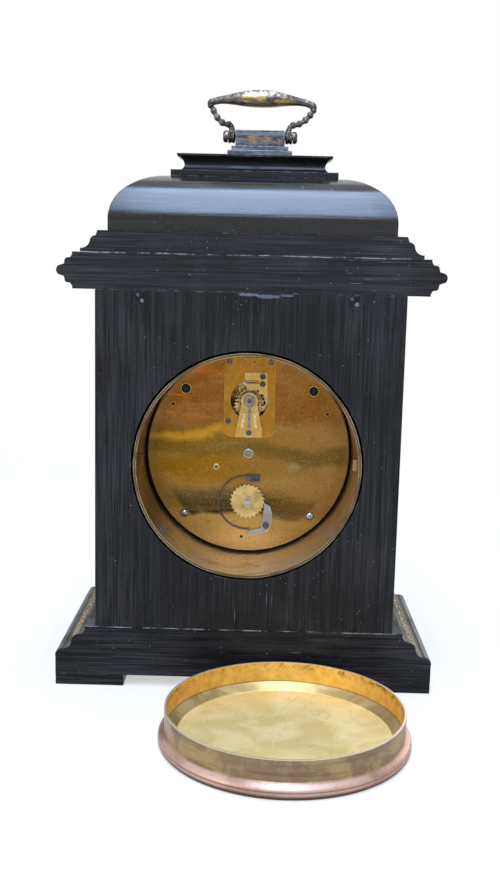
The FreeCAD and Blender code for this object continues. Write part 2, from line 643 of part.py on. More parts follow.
def make_handle():
    """The swinging handle: a turned grip between two bent arms, each with its eye on the pin."""
    grip_half, high = s.grip_length.value / 2, s.grip_height.value
    wide, slim = s.grip_radius.value, s.grip_end_radius.value
    arm, eye, length = s.arm_radius.value, s.eye_radius.value, s.eye_length.value
    bore = s.pin_radius.value + s.running_fit.value
    start = s.block_length.value / 2 + s.side_play.value
    arc = Part.Arc(FreeCAD.Vector(-grip_half, 0, high + slim), FreeCAD.Vector(0, 0, high + wide),
                   FreeCAD.Vector(grip_half, 0, high + slim)).toShape()
    left, right = FreeCAD.Vector(-grip_half, 0, high), FreeCAD.Vector(grip_half, 0, high)
    edges = [arc, Part.makeLine(arc.Vertexes[1].Point, right), Part.makeLine(right, left),
             Part.makeLine(left, arc.Vertexes[0].Point)]
    solid = Part.Face(Part.Wire(edges)).revolve(left, FreeCAD.Vector(1, 0, 0), 360)
    bow, widest, rise = s.bow_half.value, s.bow_height.value, s.wrist_height.value
    middle = start + length / 2
    elbow_x, elbow_z = bow - s.elbow_in.value, widest - s.elbow_drop.value
    reach = (bow - grip_half) * 0.62
    route = [(grip_half - slim, high), (grip_half + reach, high - arm), (bow - arm * 0.3, widest + arm * 1.9),
             (bow, widest), (elbow_x, elbow_z), ((elbow_x + middle) / 2, (elbow_z + rise) / 2),
             (middle + arm, rise), (middle, (bore + eye) / 2)]
    for side in (-1, 1):
        points = [FreeCAD.Vector(side * x, 0, z) for x, z in route]
        for first, second in zip(points, points[1:]):
            solid = solid.fuse(tube(first, second, arm))
        begin = start if side > 0 else -start - length
        solid = solid.fuse(Part.makeCylinder(eye, length, FreeCAD.Vector(begin, 0, 0), FreeCAD.Vector(1, 0, 0)))
    long_bore = Part.makeCylinder(bore, 4 * start, FreeCAD.Vector(-2 * start, 0, 0), FreeCAD.Vector(1, 0, 0))
    item = doc.addObject("Part::Feature", "handle_bail")
    item.Label = "handle_bail"
    item.Shape = solid.cut(long_bore)
    where = FreeCAD.Vector(handle_x.value, crest_middle.value, pivot_z.value)
    item.Placement = FreeCAD.Placement(where, FreeCAD.Rotation())
    pieces.append(item)


# ---------------------------------------------------------------- the drum and its cap

inner_radius = s.tube_radius - s.tube_wall
plate_radius = inner_radius - s.plate_clear
plate_back = deep(s.plate_deep)
plate_inside = plate_back - s.plate_thick
front_inside = plate_inside - s.plate_gap
front_outside = front_inside - s.plate_thick


def ring(name, start, length, outer, inner, x=0, z=0):
    body = new_body(name, x, 0, z)
    pad(body, "XZ_Plane", start, length, circle(0, 0, outer), circle(0, 0, inner))
    return body


def make_drum():
    ring("drum_tube", back, s.trunk_depth, s.tube_radius, inner_radius, 0, s.dial_height)
    ring("movement_seat", front_outside, s.seat_thick, inner_radius, inner_radius - s.seat_width,
         0, s.dial_height)
    body = new_body("cap_stops", 0, 0, s.dial_height)
    low, high = -s.stop_height / 2, s.stop_height / 2
    wall = root(inner_radius * inner_radius - high * high)
    inside = inner_radius - s.stop_proud
    curve = inner_radius.value / s.stop_height.value
    stops = []
    for side, low, high in ((1, low, high), (-1, high, low)):
        stops.append([(side * inside, low), (side * wall, low, curve),
                      (side * wall, high), (side * inside, high)])
    pad(body, "XZ_Plane", deep(s.stop_deep), s.stop_length, *stops)


def make_cap():
    body = new_body("rear_cap", -s.cap_aside, back + s.cap_behind, 0)
    wall = inner_radius - s.cap_fit
    inside = wall - s.cap_wall
    flange = s.tube_radius + s.cap_flange
    floor_top = s.cap_floor + s.cap_sheet
    slope = inside - s.cap_slope_run
    lathe(body, "XZ_Plane", "V_Axis", [
        (0, s.cap_floor), (slope, s.cap_floor), (inside, 0), (flange - s.cap_wall, 0, 0.8),
        (flange, s.cap_bead / 2, 0.8), (flange - s.cap_wall, s.cap_bead),
        (wall, s.cap_bead + s.cap_shoulder), (wall, s.cap_height), (inside, s.cap_height),
        (inside, floor_top + s.cap_slope_rise), (slope, floor_top), (0, floor_top)])


# ---------------------------------------------------------------- the movement's frame

def pillar_places():
    away = (plate_radius - s.pillar_edge) * QUARTER
    return [(away * across, away * up) for across in (-1, 1) for up in (-1, 1)]


def arbor_place(name):
    """Sideways and upward place of an arbor from the movement's middle."""
    return {"centre": (term(0), term(0)),
            "barrel": (term(0), -s.barrel_drop),
            "third": (s.third_out, s.third_up),
            "fourth": (-s.fourth_out, s.fourth_up),
            "escape": (term(0), s.escape_up),
            "lever": (term(0), s.lever_up),
            "balance": (term(0), s.balance_up),
            "minute": (term(0), -s.minute_drop)}[name]


def make_plates():
    train = s.pivot_radius + s.running_fit
    wide = s.wind_pivot + s.running_fit
    arbor = s.arbor_radius + s.running_fit
    holes = [circle(x, z, s.screw_radius + s.running_fit) for x, z in pillar_places()]
    holes += [circle(*arbor_place("centre"), arbor), circle(*arbor_place("barrel"), wide)]
    holes += [circle(*arbor_place(name), train) for name in ("third", "fourth")]
    rear = new_body("back_plate", 0, 0, s.dial_height)
    fine = [circle(x, z, s.fine_screw + s.running_fit) for x, z in platform_screw_places()]
    pad(rear, "XZ_Plane", plate_back, s.plate_thick, circle(0, 0, plate_radius), *holes, *fine)
    pocket(rear, "XZ_Plane", plate_back, s.plate_thick, circle(0, s.balance_up, s.balance_window))
    pocket(rear, "XZ_Plane", plate_back, s.plate_thick, circle(0, s.escape_up, s.escape_well))
    click_x, click_z = -s.click_out, -s.barrel_drop - s.click_drop
    pocket(rear, "XZ_Plane", plate_back, s.plate_thick / 2, circle(click_x, click_z, s.click_bore))
    fore = new_body("front_plate", 0, 0, s.dial_height)
    holes.append(circle(*arbor_place("minute"), train))
    pad(fore, "XZ_Plane", front_inside, s.plate_thick, circle(0, 0, plate_radius), *holes)


def make_pillars():
    body = new_body("plate_pillars", 0, 0, s.dial_height)
    places = pillar_places()
    pad(body, "XZ_Plane", plate_inside, s.plate_gap, *[circle(x, z, s.pillar_radius) for x, z in places])
    bores = [circle(x, z, s.screw_radius + s.running_fit) for x, z in places]
    pocket(body, "XZ_Plane", plate_inside, s.screw_bite + s.end_play, *bores)
    pocket(body, "XZ_Plane", front_inside + s.screw_bite + s.end_play, s.screw_bite + s.end_play, *bores)
    screws = new_body("plate_screws", 0, 0, s.dial_height)
    heads = [circle(x, z, s.screw_head) for x, z in places]
    shanks = [circle(x, z, s.screw_radius) for x, z in places]
    shank = s.plate_thick + s.screw_bite
    slots = [rectangle(x - s.screw_head, z - s.slot_width / 2, x + s.screw_head, z + s.slot_width / 2)
             for x, z in places]
    pad(screws, "XZ_Plane", plate_back + s.head_height, s.head_height, *heads)
    pad(screws, "XZ_Plane", plate_back, shank, *shanks)
    pad(screws, "XZ_Plane", front_outside, s.head_height, *heads)
    pad(screws, "XZ_Plane", front_outside + shank, shank, *shanks)
    pocket(screws, "XZ_Plane", plate_back + s.head_height, s.slot_deep, *slots)
    pocket(screws, "XZ_Plane", front_outside - s.head_height + s.slot_deep, s.slot_deep, *slots)


# ---------------------------------------------------------------- wheels and arbors

TOOTH_TALL, TOOTH_DEEP = 0.7, 1.0
TIP_SHARE, ROOT_SHARE = 0.09, 0.28


def polar(radius, degrees):
    angle = math.radians(degrees)
    return FreeCAD.Vector(radius * math.cos(angle), 0, radius * math.sin(angle))


def prism(points, start, thick):
    """Extrude a closed run of points in an XZ plane, from start towards -Y."""
    face = Part.Face(Part.makePolygon(points + points[:1]))
    face.translate(FreeCAD.Vector(0, start, 0))
    return face.extrude(FreeCAD.Vector(0, -thick, 0))


def rod(start, length, radius, x=0, z=0):
    """A cylinder along Y, from start towards -Y."""
    return Part.makeCylinder(radius, length, FreeCAD.Vector(x, start, z), FreeCAD.Vector(0, -1, 0))


def toothed(teeth, radius, phase, start, thick):
    """A wheel or pinion of straight-sided teeth; one tooth's middle is at the phase, in degrees."""
    module = 2 * radius / teeth
    step = 360.0 / teeth
    points = []
    for tooth in range(teeth):
        middle = phase + tooth * step
        for share, reach in ((-ROOT_SHARE, -TOOTH_DEEP), (-TIP_SHARE, TOOTH_TALL),
                             (TIP_SHARE, TOOTH_TALL), (ROOT_SHARE, -TOOTH_DEEP)):
            points.append(polar(radius + reach * module, middle + share * step))
    return prism(points, start, thick)


def mesh(first, second, first_teeth, second_teeth):
    """Pitch radii and phases of two meshed wheels from the places of their arbors."""
    (ax, az), (bx, bz) = arbor_place(first), arbor_place(second)
    run, rise = bx.value - ax.value, bz.value - az.value
    distance = math.hypot(run, rise)
    towards = math.degrees(math.atan2(rise, run))
    share = distance / (first_teeth + second_teeth)
    gap = 180.0 / second_teeth
    return share * first_teeth, towards, share * second_teeth, towards + 180 + gap


def feature(name, shape, place):
    """A sub-part whose shape is worked out here, put at an arbor's place."""
    item = doc.addObject("Part::Feature", name)
    item.Label = name
    item.Shape = shape.removeSplitter()
    x, z = arbor_place(place)
    where = FreeCAD.Vector(x.value, 0, z.value + s.dial_height.value)
    item.Placement = FreeCAD.Placement(where, FreeCAD.Rotation())
    pieces.append(item)


def stepped(steps):
    """A solid arbor from (start, end, radius) along -Y."""
    rods = [rod(start, start - end, radius) for start, end, radius in steps]
    return rods[0].fuse(rods[1:]) if len(rods) > 1 else rods[0]


def crossed(shape, start, thick, hub, rim, arms):
    """Cut the openings between the arms out of a wheel, from its hub to its rim."""
    disc = rod(start, thick, rim).cut(rod(start, thick, hub))
    width = hub * 0.8
    for arm in range(arms):
        angle = 360.0 * arm / arms
        bar = Part.makeBox(rim, thick, width, FreeCAD.Vector(0, start - thick, -width / 2))
        bar.rotate(FreeCAD.Vector(0, 0, 0), FreeCAD.Vector(0, 1, 0), angle)
        disc = disc.cut(bar)
    return shape.cut(disc)


# Where one tooth of the ratchet points, and how far past its steep face the click stands.
RATCHET_TIP_AT = 187.0
NOSE_IN, NOSE_OUT = 1.6, 1.2

# Where each wheel stands between the plates, from the back plate's inner face.
FOURTH_LEVEL = 3.2
THIRD_LEVEL = 7.0
CENTRE_LEVEL = 16.4
ARMS = 5

inside_back = plate_inside.value
inside_front = front_inside.value
thick = s.wheel_thick.value
leaf = s.pinion_length.value
over = (leaf - thick) / 2
play = s.end_play.value
arbor_r = s.arbor_radius.value
pivot_r = s.pivot_radius.value
plate = s.plate_thick.value


def wheel_piece(name, place, teeth, radius, phase, level):
    start = inside_back - level
    shape = toothed(teeth, radius, phase, start, thick)
    shape = shape.cut(rod(start, thick, arbor_r))
    rim = radius - 2.6 * radius / teeth * 2
    feature(name, crossed(shape, start, thick, arbor_r * 3, rim, ARMS), place)


def arbor_piece(name, place, teeth, radius, phase, level, back_end, front_end, pivots=True):
    """An arbor with its pinion, whose leaves reach past both sides of the wheel at its level."""
    start = inside_back - level + over
    shape = toothed(teeth, radius, phase, start, leaf)
    body = stepped([(back_end, front_end, arbor_r)])
    if pivots:
        body = body.fuse([rod(back_end + plate, plate, pivot_r), rod(front_end, plate, pivot_r)])
    feature(name, shape.fuse(body), place)


def make_barrel():
    great_r, great_at, centre_r, centre_at = mesh("barrel", "centre", BARREL_TEETH, CENTRE_LEAVES)
    start = deep(s.barrel_deep).value
    radius, wall, length = s.barrel_radius.value, s.barrel_wall.value, s.barrel_length.value
    bore = (s.wind_radius + s.running_fit).value
    drum = rod(start, length, radius).cut(rod(start - wall, length - wall, radius - wall))
    feature("barrel", drum.cut(rod(start, wall, bore)), "barrel")
    cover = rod(start - length + wall, wall, radius - wall)
    feature("barrel_cover", cover.cut(rod(start - length + wall, wall, bore)), "barrel")
    tooth_start = start - 0.4
    great = toothed(BARREL_TEETH, great_r, great_at, tooth_start, s.great_thick.value)
    great = great.cut(rod(tooth_start, s.great_thick.value, radius))
    feature("great_wheel", great, "barrel")
    gap = s.spring_gap.value
    ribbon = spiral(s.core_radius.value + gap, radius - wall - gap / 2, s.spring_thick.value, 7)
    feature("mainspring", prism(ribbon, start - wall - gap, length - 2 * (wall + gap)), "barrel")
    return centre_r, centre_at, tooth_start


def spiral(low, high, ribbon, turns):
    """The outline of a coiled ribbon between two radii."""
    steps = 20
    count = turns * steps
    pitch = (high - low - ribbon) / count
    inner = [polar(low + pitch * n, 360.0 * n / steps) for n in range(count + 1)]
    outer = [polar(low + ribbon + pitch * n, 360.0 * n / steps) for n in range(count, -1, -1)]
    return inner + outer


def make_winding():
    barrel_start = deep(s.barrel_deep).value
    length, wall = s.barrel_length.value, s.barrel_wall.value
    ratchet_start = (plate_back + s.ratchet_lift + s.ratchet_thick).value
    pivot, core = s.wind_pivot.value, s.core_radius.value
    shape = stepped([(ratchet_start, inside_front - plate, pivot),
                     (inside_back - play, inside_front + play, s.wind_radius.value),
                     (barrel_start - wall - play, barrel_start - length + wall + play, core)])
    side, reach = s.square_side.value, s.square_length.value
    corner = FreeCAD.Vector(-side / 2, ratchet_start, -side / 2)
    shape = shape.fuse(Part.makeBox(side, reach, side, corner))
    feature("winding_arbor", shape, "barrel")
    outer, inner = s.ratchet_radius.value, (s.ratchet_radius - s.ratchet_tooth).value
    step = 360.0 / RATCHET_TEETH
    points = []
    for tooth in range(RATCHET_TEETH):
        at = RATCHET_TIP_AT + tooth * step
        points += [polar(outer, at), polar(inner, at + 0.5)]
    wheel = prism(points, ratchet_start, s.ratchet_thick.value)
    wheel = wheel.cut(rod(ratchet_start, s.ratchet_thick.value, pivot))
    feature("ratchet_wheel", wheel, "barrel")


def by_angle(radius, degrees):
    """A sketch point at an angle, from a radius in the sheet."""
    angle = math.radians(degrees)
    return radius * math.cos(angle), radius * math.sin(angle)


def make_click():
    """The click, its screw and its wire spring, drawn about the ratchet's middle."""
    middle = s.dial_height - s.barrel_drop
    out, drop = s.click_out, s.click_drop
    start = plate_back + s.ratchet_lift + s.click_thick
    nose = s.ratchet_radius - s.ratchet_tooth * 0.55
    shoulder = s.ratchet_radius + s.ratchet_tooth * 0.8
    corners = [by_angle(nose, RATCHET_TIP_AT + NOSE_IN), by_angle(shoulder, RATCHET_TIP_AT + NOSE_OUT),
               (-out - 1.7, -2.2), (-out - 2.8, -6.0), (-out - 2.4, -drop), (-out - 0.7, -drop - 3.0),
               (-out + 2.3, -drop - 4.3), (-0.3, -drop - 5.1), (-1.0, -drop - 2.75),
               (-out + 2.2, -drop - 1.5), (-out + 2.2, -drop), (-s.ratchet_radius + 0.1, -3.0)]
    click = new_body("click", 0, 0, middle)
    pad(click, "XZ_Plane", start, s.click_thick, corners, circle(-out, -drop, s.click_bore))
    screw = new_body("click_screw", -out, 0, middle - drop)
    top = start + s.running_fit
    pad(screw, "XZ_Plane", top + s.head_height, s.head_height, circle(0, 0, s.click_head))
    shank = circle(0, 0, s.click_bore - s.running_fit)
    pad(screw, "XZ_Plane", top, s.running_fit + s.click_thick + s.ratchet_lift + s.plate_thick / 2, shank)
    slot = rectangle(-s.click_head, -s.slot_width / 2, s.click_head, s.slot_width / 2)
    pocket(screw, "XZ_Plane", top + s.head_height, s.slot_deep, slot)
    make_click_spring(middle)


def make_click_spring(middle):
    body = new_body("click_spring", 0, 0, middle)
    outer, inner = s.wire_radius + s.wire_width / 2, s.wire_radius - s.wire_width / 2
    x, low = s.wire_aside, -s.wire_drop
    tip = -s.wire_aside * 1.5
    level = plate_back + s.wire_lift + s.wire_height
    wire = [(x, low + outer), (x, low + inner, -QUARTER), (x + inner, low, -QUARTER),
            (x, low - inner), (tip, low - inner), (tip, low - outer), (x, low - outer, QUARTER),
            (x + outer, low, QUARTER)]
    pad(body, "XZ_Plane", level, s.wire_height, wire)
    high = low + outer + s.wire_width
    block = rectangle(x - s.wire_foot, high - s.wire_foot_height, x, high)
    pad(body, "XZ_Plane", level, s.wire_lift + s.wire_height, block)


def make_train():
    centre_r, centre_at, tooth_start = make_barrel()
    back_end, front_end = inside_back - play, inside_front + play
    radius, at, third_r, third_at = mesh("centre", "third", CENTRE_TEETH, THIRD_LEAVES)
    wheel_piece("centre_wheel", "centre", CENTRE_TEETH, radius, at, CENTRE_LEVEL)
    leaves = toothed(CENTRE_LEAVES, centre_r, centre_at, tooth_start + over, leaf)
    behind, outside = plate_back.value, inside_front - plate
    post = s.cannon_bore.value - s.running_fit.value
    arbor = stepped([(behind + plate * 0.6, outside, arbor_r),
                     (behind + plate * 0.6, behind + play, arbor_r * 2.2),
                     (outside, minute_start.value - s.hand_thick.value, post)])
    feature("centre_arbor", leaves.fuse(arbor), "centre")
    arbor_piece("third_arbor", "third", THIRD_LEAVES, third_r, third_at, CENTRE_LEVEL, back_end, front_end)
    radius, at, fourth_r, fourth_at = mesh("third", "fourth", THIRD_TEETH, FOURTH_LEAVES)
    wheel_piece("third_wheel", "third", THIRD_TEETH, radius, at, THIRD_LEVEL)
    arbor_piece("fourth_arbor", "fourth", FOURTH_LEAVES, fourth_r, fourth_at, THIRD_LEVEL,
                back_end, front_end)
    radius, at, escape_r, escape_at = mesh("fourth", "escape", FOURTH_TEETH, ESCAPE_LEAVES)
    wheel_piece("fourth_wheel", "fourth", FOURTH_TEETH, radius, at, FOURTH_LEVEL)
    make_escape(escape_r, escape_at)


# ---------------------------------------------------------------- the platform

platform_face = plate_back + s.platform_thick
bridge_face = platform_face + s.bridge_thick
cock_inside = platform_face + s.cock_lift
cock_face = cock_inside + s.cock_thick
potence_end = plate_inside - s.potence_thick
lever_start = plate_back - (s.plate_thick - s.fine_thick) / 2


def highest(width):
    """How high a straight-topped piece of a width can reach on the plate, over its middle."""
    reach = plate_radius - s.platform_edge
    return root(reach * reach - width * width / 4)


platform_top = highest(s.platform_width)


def make_escape(pinion_r, pinion_at):
    start, fine_thick, staff = lever_start.value, s.fine_thick.value, s.staff_radius.value
    outer = s.escape_radius.value
    step = 360.0 / ESCAPE_TEETH
    points = []
    for tooth in range(ESCAPE_TEETH):
        at = tooth * step
        points += [polar(outer, at), polar(outer, at + step / 8), polar(outer * 0.74, at + step / 2)]
    wheel = prism(points, start, fine_thick).cut(rod(start, fine_thick, staff))
    feature("escape_wheel", crossed(wheel, start, fine_thick, outer / 3, outer * 0.56, 4), "escape")
    pinion_start = inside_back - FOURTH_LEVEL + over
    top = platform_face.value - s.running_fit.value
    arbor = stepped([(bridge_face.value, top - fine_thick, s.fine_pivot.value),
                     (top, pinion_start - leaf - play, staff)])
    leaves = toothed(ESCAPE_LEAVES, pinion_r, pinion_at, pinion_start, leaf)
    feature("escape_arbor", leaves.fuse(arbor), "escape")


def fine_arbor(body, top, inside, end):
    """Pads a staff with its two pivots: from its bearing at the top to its bearing below."""
    pad(body, "XZ_Plane", top, top - end, circle(0, 0, s.fine_pivot))
    shaft = inside - plate_inside - s.running_fit * 2
    pad(body, "XZ_Plane", inside - s.running_fit, shaft, circle(0, 0, s.staff_radius))


def platform_screw_places():
    side = s.platform_width / 2 - s.fine_head * 1.6
    top = platform_top - s.fine_head * 1.5
    return [(side, top), (-side, top), (side, s.platform_foot + s.fine_head * 5.5)]


def bridge_screw_places():
    return [(-s.index_ring * 2, s.escape_up), (-s.index_ring * 2, s.lever_up + s.fine_head)]


def cock_screw_place():
    return term(0), s.platform_foot + s.fine_head * 1.6


def make_platform():
    hole = s.fine_screw + s.running_fit
    left, right = -s.platform_width / 2, s.platform_width / 2
    low, high = s.platform_foot, platform_top
    turn = s.platform_round
    edge = [(left + turn, low), (right - turn, low, QUARTER), (right, low + turn), (right, high),
            (left, high), (left, low + turn, QUARTER)]
    places = platform_screw_places() + bridge_screw_places() + [cock_screw_place()]
    wires = [circle(x, z, hole) for x, z in places]
    wires += [circle(0, s.balance_up, s.balance_window), circle(0, s.escape_up, s.escape_window)]
    pad(new_body("platform_plate", 0, 0, s.dial_height), "XZ_Plane", platform_face, s.platform_thick,
        edge, *wires)
    screws = new_body("platform_screws", 0, 0, s.dial_height)
    for places, face, deep_in in ((platform_screw_places(), platform_face, s.platform_thick * 2),
                                  (bridge_screw_places(), bridge_face, s.bridge_thick + s.platform_thick),
                                  ([cock_screw_place()], cock_face,
                                   s.cock_thick + s.cock_lift + s.platform_thick)):
        top = face + s.fine_head_height
        pad(screws, "XZ_Plane", top, s.fine_head_height, *[circle(x, z, s.fine_head) for x, z in places])
        pad(screws, "XZ_Plane", face, deep_in, *[circle(x, z, s.fine_screw) for x, z in places])
        half_slot = s.slot_width / 2
        slots = [rectangle(x - s.fine_head, z - half_slot, x + s.fine_head, z + half_slot)
                 for x, z in places]
        pocket(screws, "XZ_Plane", top, s.fine_head_height / 2, *slots)
    potence = new_body("potence", 0, 0, s.dial_height)
    bar = centred(s.potence_width, s.balance_up - s.balance_window - s.potence_lap,
                  highest(s.potence_width))
    pivot = s.fine_pivot + s.running_fit
    pad(potence, "XZ_Plane", plate_inside, s.potence_thick, bar, circle(0, s.balance_up, pivot),
        circle(0, s.lever_up, pivot), circle(0, s.escape_up, s.staff_radius + s.running_fit))


def make_bridge():
    hole = s.fine_screw + s.running_fit
    pivot = s.fine_pivot + s.running_fit
    lever, escape = s.lever_up, s.escape_up
    left, inner, right, end = -7.8, -4.2, 1.5, 2.4
    edge = [(left, lever - 3.3), (inner, lever - 3.3), (inner, lever - 1.4), (right, lever - 1.4),
            (right, lever + 1.4), (inner, lever + 1.4), (inner, escape - 1.6), (end, escape - 1.6),
            (end, escape + 1.7), (left, escape + 1.7)]
    holes = [circle(x, z, hole) for x, z in bridge_screw_places()]
    holes += [circle(0, lever, pivot), circle(0, escape, pivot)]
    bridge = new_body("escape_bridge", 0, 0, s.dial_height)
    pad(bridge, "XZ_Plane", bridge_face, s.bridge_thick, edge, *holes)


def make_cock():
    """The balance cock with its foot on the platform, and the ring and index on top of it."""
    up, round_end, wide, low = s.balance_up, s.cock_ring, s.cock_half, s.platform_foot
    lean = 23.0
    share = 0.5 / math.sin(math.radians((90 + lean) / 2))
    x, z = by_angle(round_end, -lean)
    edge = [(-wide, low), (wide, low), (wide - 0.8, low + 5.5), (x, up + z, share), (0, up + round_end, share),
            (-x, up + z), (0.8 - wide, low + 5.5)]
    cock = new_body("balance_cock", 0, 0, s.dial_height)
    place = cock_screw_place()
    hole = circle(place[0], place[1], s.fine_screw + s.running_fit)
    pivot = circle(0, up, s.fine_pivot + s.running_fit)
    pad(cock, "XZ_Plane", cock_face, s.cock_thick, edge, hole, pivot)
    foot = rectangle(0.4 - wide, low, wide - 0.4, low + 4.2)
    pad(cock, "XZ_Plane", cock_inside, s.cock_lift, foot, hole)
    lift = s.running_fit * 2
    bore = s.end_radius + s.running_fit
    top = cock_face + lift + s.index_thick
    index = new_body("regulator_index", 0, 0, s.dial_height + up)
    pad(index, "XZ_Plane", top, s.index_thick, circle(0, 0, s.index_ring), circle(0, 0, bore))
    pointer = rectangle(-s.index_half, -s.index_reach, s.index_half, -(bore + s.index_ring) / 2)
    pad(index, "XZ_Plane", top, s.index_thick, pointer)
    ring("end_ring", top + lift, s.index_thick + lift * 2, s.end_radius, s.end_radius / 3,
         0, s.dial_height + up)


def make_balance():
    middle = s.dial_height + s.balance_up
    staff = new_body("balance_staff", 0, 0, middle)
    fine_arbor(staff, cock_face, cock_inside, potence_end)
    pad(staff, "XZ_Plane", lever_start, s.fine_thick, circle(0, 0, s.roller_radius))
    wheel = new_body("balance_wheel", 0, 0, middle)
    start = platform_face - s.cock_lift * 0.2
    inner = s.balance_radius - s.balance_rim
    pad(wheel, "XZ_Plane", start, s.balance_rim, circle(0, 0, s.balance_radius), circle(0, 0, inner))
    bar = rectangle(-inner - s.balance_rim / 2, -s.staff_radius, inner + s.balance_rim / 2, s.staff_radius)
    pad(wheel, "XZ_Plane", start, s.balance_rim / 2, bar)
    pad(wheel, "XZ_Plane", start, s.balance_rim, circle(0, 0, s.staff_radius * 2.4))
    pocket(wheel, "XZ_Plane", start, s.balance_rim, circle(0, 0, s.staff_radius))
    low = s.staff_radius.value + 0.05
    coil = spiral(low, s.balance_radius.value * 0.6, 0.14, 6)
    level = cock_inside.value - 0.15
    feature("hairspring", prism(coil, level, s.cock_lift.value * 0.5), "balance")


def make_lever():
    lever = new_body("pallet_lever", 0, 0, s.dial_height + s.lever_up)
    fork = s.balance_up + s.roller_radius + s.fine_thick * 0.6 - s.lever_up
    reach = s.escape_up - s.lever_up
    edge = [(0.35, fork), (0.9, fork), (0.9, fork + 1.1), (0.4, fork + 1.7), (0.4, -1.0), (1.2, -0.5),
            (3.7, reach - 3.1), (3.5, reach - 2.0), (2.8, reach - 2.5), (2.6, reach - 3.0),
            (0.9, reach - 3.95)]
    mirror = [(-x, z) for x, z in reversed(edge)]
    slot = [(-0.35, fork + 0.9), (0.35, fork + 0.9)]
    pad(lever, "XZ_Plane", lever_start, s.fine_thick, edge + mirror + slot)
    fine_arbor(lever, bridge_face, platform_face, potence_end)


# ---------------------------------------------------------------- the motion work, dial and hands

dial_radius = inner_radius - s.dial_gap
dial_face = deep(s.dial_deep + s.dial_thick)
hour_start = dial_face - s.hour_gap
minute_start = hour_start - s.hand_thick - s.hand_gap


def make_motion():
    outside = front_outside.value
    motion, fit = s.motion_thick.value, s.running_fit.value
    pipe, hour_pipe = s.cannon_radius.value, s.hour_pipe.value
    cannon_r, cannon_at, minute_r, minute_at = mesh("centre", "minute", CANNON_TEETH, MINUTE_TEETH)
    leaf_r, leaf_at, hour_r, hour_at = mesh("minute", "centre", MINUTE_LEAVES, HOUR_TEETH)
    start = outside - motion * 0.6
    end = (minute_start - s.hand_thick).value
    cannon = toothed(CANNON_TEETH, cannon_r, cannon_at, start, motion * 2.5)
    cannon = cannon.fuse(rod(start, start - end, pipe))
    feature("cannon_pinion", cannon.cut(rod(start, start - end, s.cannon_bore.value)), "centre")
    wheel_start = start - motion * 0.5
    leaf_start = start - motion * 2.7
    wheel = toothed(MINUTE_TEETH, minute_r, minute_at, wheel_start, motion)
    pinion = toothed(MINUTE_LEAVES, leaf_r, leaf_at, leaf_start, motion * 2)
    stud = stepped([(inside_front, leaf_start, pivot_r), (outside - fit, leaf_start, arbor_r)])
    feature("minute_wheel", wheel.fuse([pinion, stud]), "minute")
    hour_wheel_start = leaf_start - motion * 0.4
    hour = toothed(HOUR_TEETH, hour_r, hour_at, hour_wheel_start, motion)
    length = hour_wheel_start - (hour_start - s.hand_thick).value
    hour = hour.fuse(rod(hour_wheel_start, length, hour_pipe))
    feature("hour_wheel", hour.cut(rod(hour_wheel_start, length, pipe + fit)), "centre")


def make_hand(name, start, reach, bore, turn):
    hand = new_body(name, 0, 0, s.dial_height, turn)
    wide, neck = reach * 0.045, reach * 0.018
    blade = [(neck, s.hand_boss * 0.8), (wide, reach * 0.6), (0, reach), (-wide, reach * 0.6),
             (-neck, s.hand_boss * 0.8)]
    pad(hand, "XZ_Plane", start, s.hand_thick, circle(0, 0, s.hand_boss))
    pad(hand, "XZ_Plane", start, s.hand_thick, blade)
    pocket(hand, "XZ_Plane", start, s.hand_thick, circle(0, 0, bore))


def make_dial():
    dial = new_body("dial", 0, 0, s.dial_height)
    rim = circle(0, 0, dial_radius)
    pad(dial, "XZ_Plane", deep(s.dial_deep), s.dial_thick, rim, circle(0, 0, s.dial_hole))
    feet = [by_angle(dial_radius - s.dial_foot_edge, at) for at in (90, 210, 330)]
    pad(dial, "XZ_Plane", front_outside, front_outside - deep(s.dial_deep),
        *[circle(x, z, s.dial_foot) for x, z in feet])
    make_hand("hour_hand", hour_start, dial_radius - s.hour_track, s.hour_pipe, HOUR_HAND_AT)
    make_hand("minute_hand", minute_start, dial_radius - s.minute_track, s.cannon_radius, MINUTE_HAND_AT)


# ---------------------------------------------------------------- the bezel on its hinge

bezel_radius = s.tube_radius + s.bezel_lap
bezel_sight = inner_radius - s.sight_lap
glass_radius = bezel_sight + s.glass_lap


def make_bezel():
    bezel = new_body("bezel", 0, 0, s.dial_height)
    rear = front - s.bezel_clear
    top = front - s.bezel_height
    lip = front - s.glass_back - s.glass_thick
    groove = glass_radius + s.glass_gap
    lathe(bezel, "YZ_Plane", "H_Axis", [
        (rear, groove), (rear, bezel_radius), (rear - s.bezel_edge, bezel_radius, 0.85),
        (top, bezel_radius - 5), (top, bezel_radius - 6.5, -0.9), (lip - 0.8, bezel_sight),
        (lip, bezel_sight), (lip, groove)])
    hinge_x = -bezel_radius - s.hinge_gap
    hinge_y = front - s.hinge_out
    web = front - s.knuckle_gap
    pad(bezel, "XY_Plane", -s.knuckle_half, s.knuckle_half * 2, circle(hinge_x, hinge_y, s.knuckle_radius))
    tab = rectangle(hinge_x, web - s.bezel_edge, s.hinge_gap * 0.5 - bezel_radius, web)
    pad(bezel, "XY_Plane", -s.knuckle_half, s.knuckle_half * 2, tab)
    bore = circle(hinge_x, hinge_y, s.hinge_pin_radius + s.running_fit)
    pocket(bezel, "XY_Plane", -s.knuckle_half, s.knuckle_half * 2, bore)
    glass = new_body("glass", 0, 0, s.dial_height)
    pad(glass, "XZ_Plane", front - s.glass_back, s.glass_thick, circle(0, 0, glass_radius))
    make_hinge(hinge_x, hinge_y)


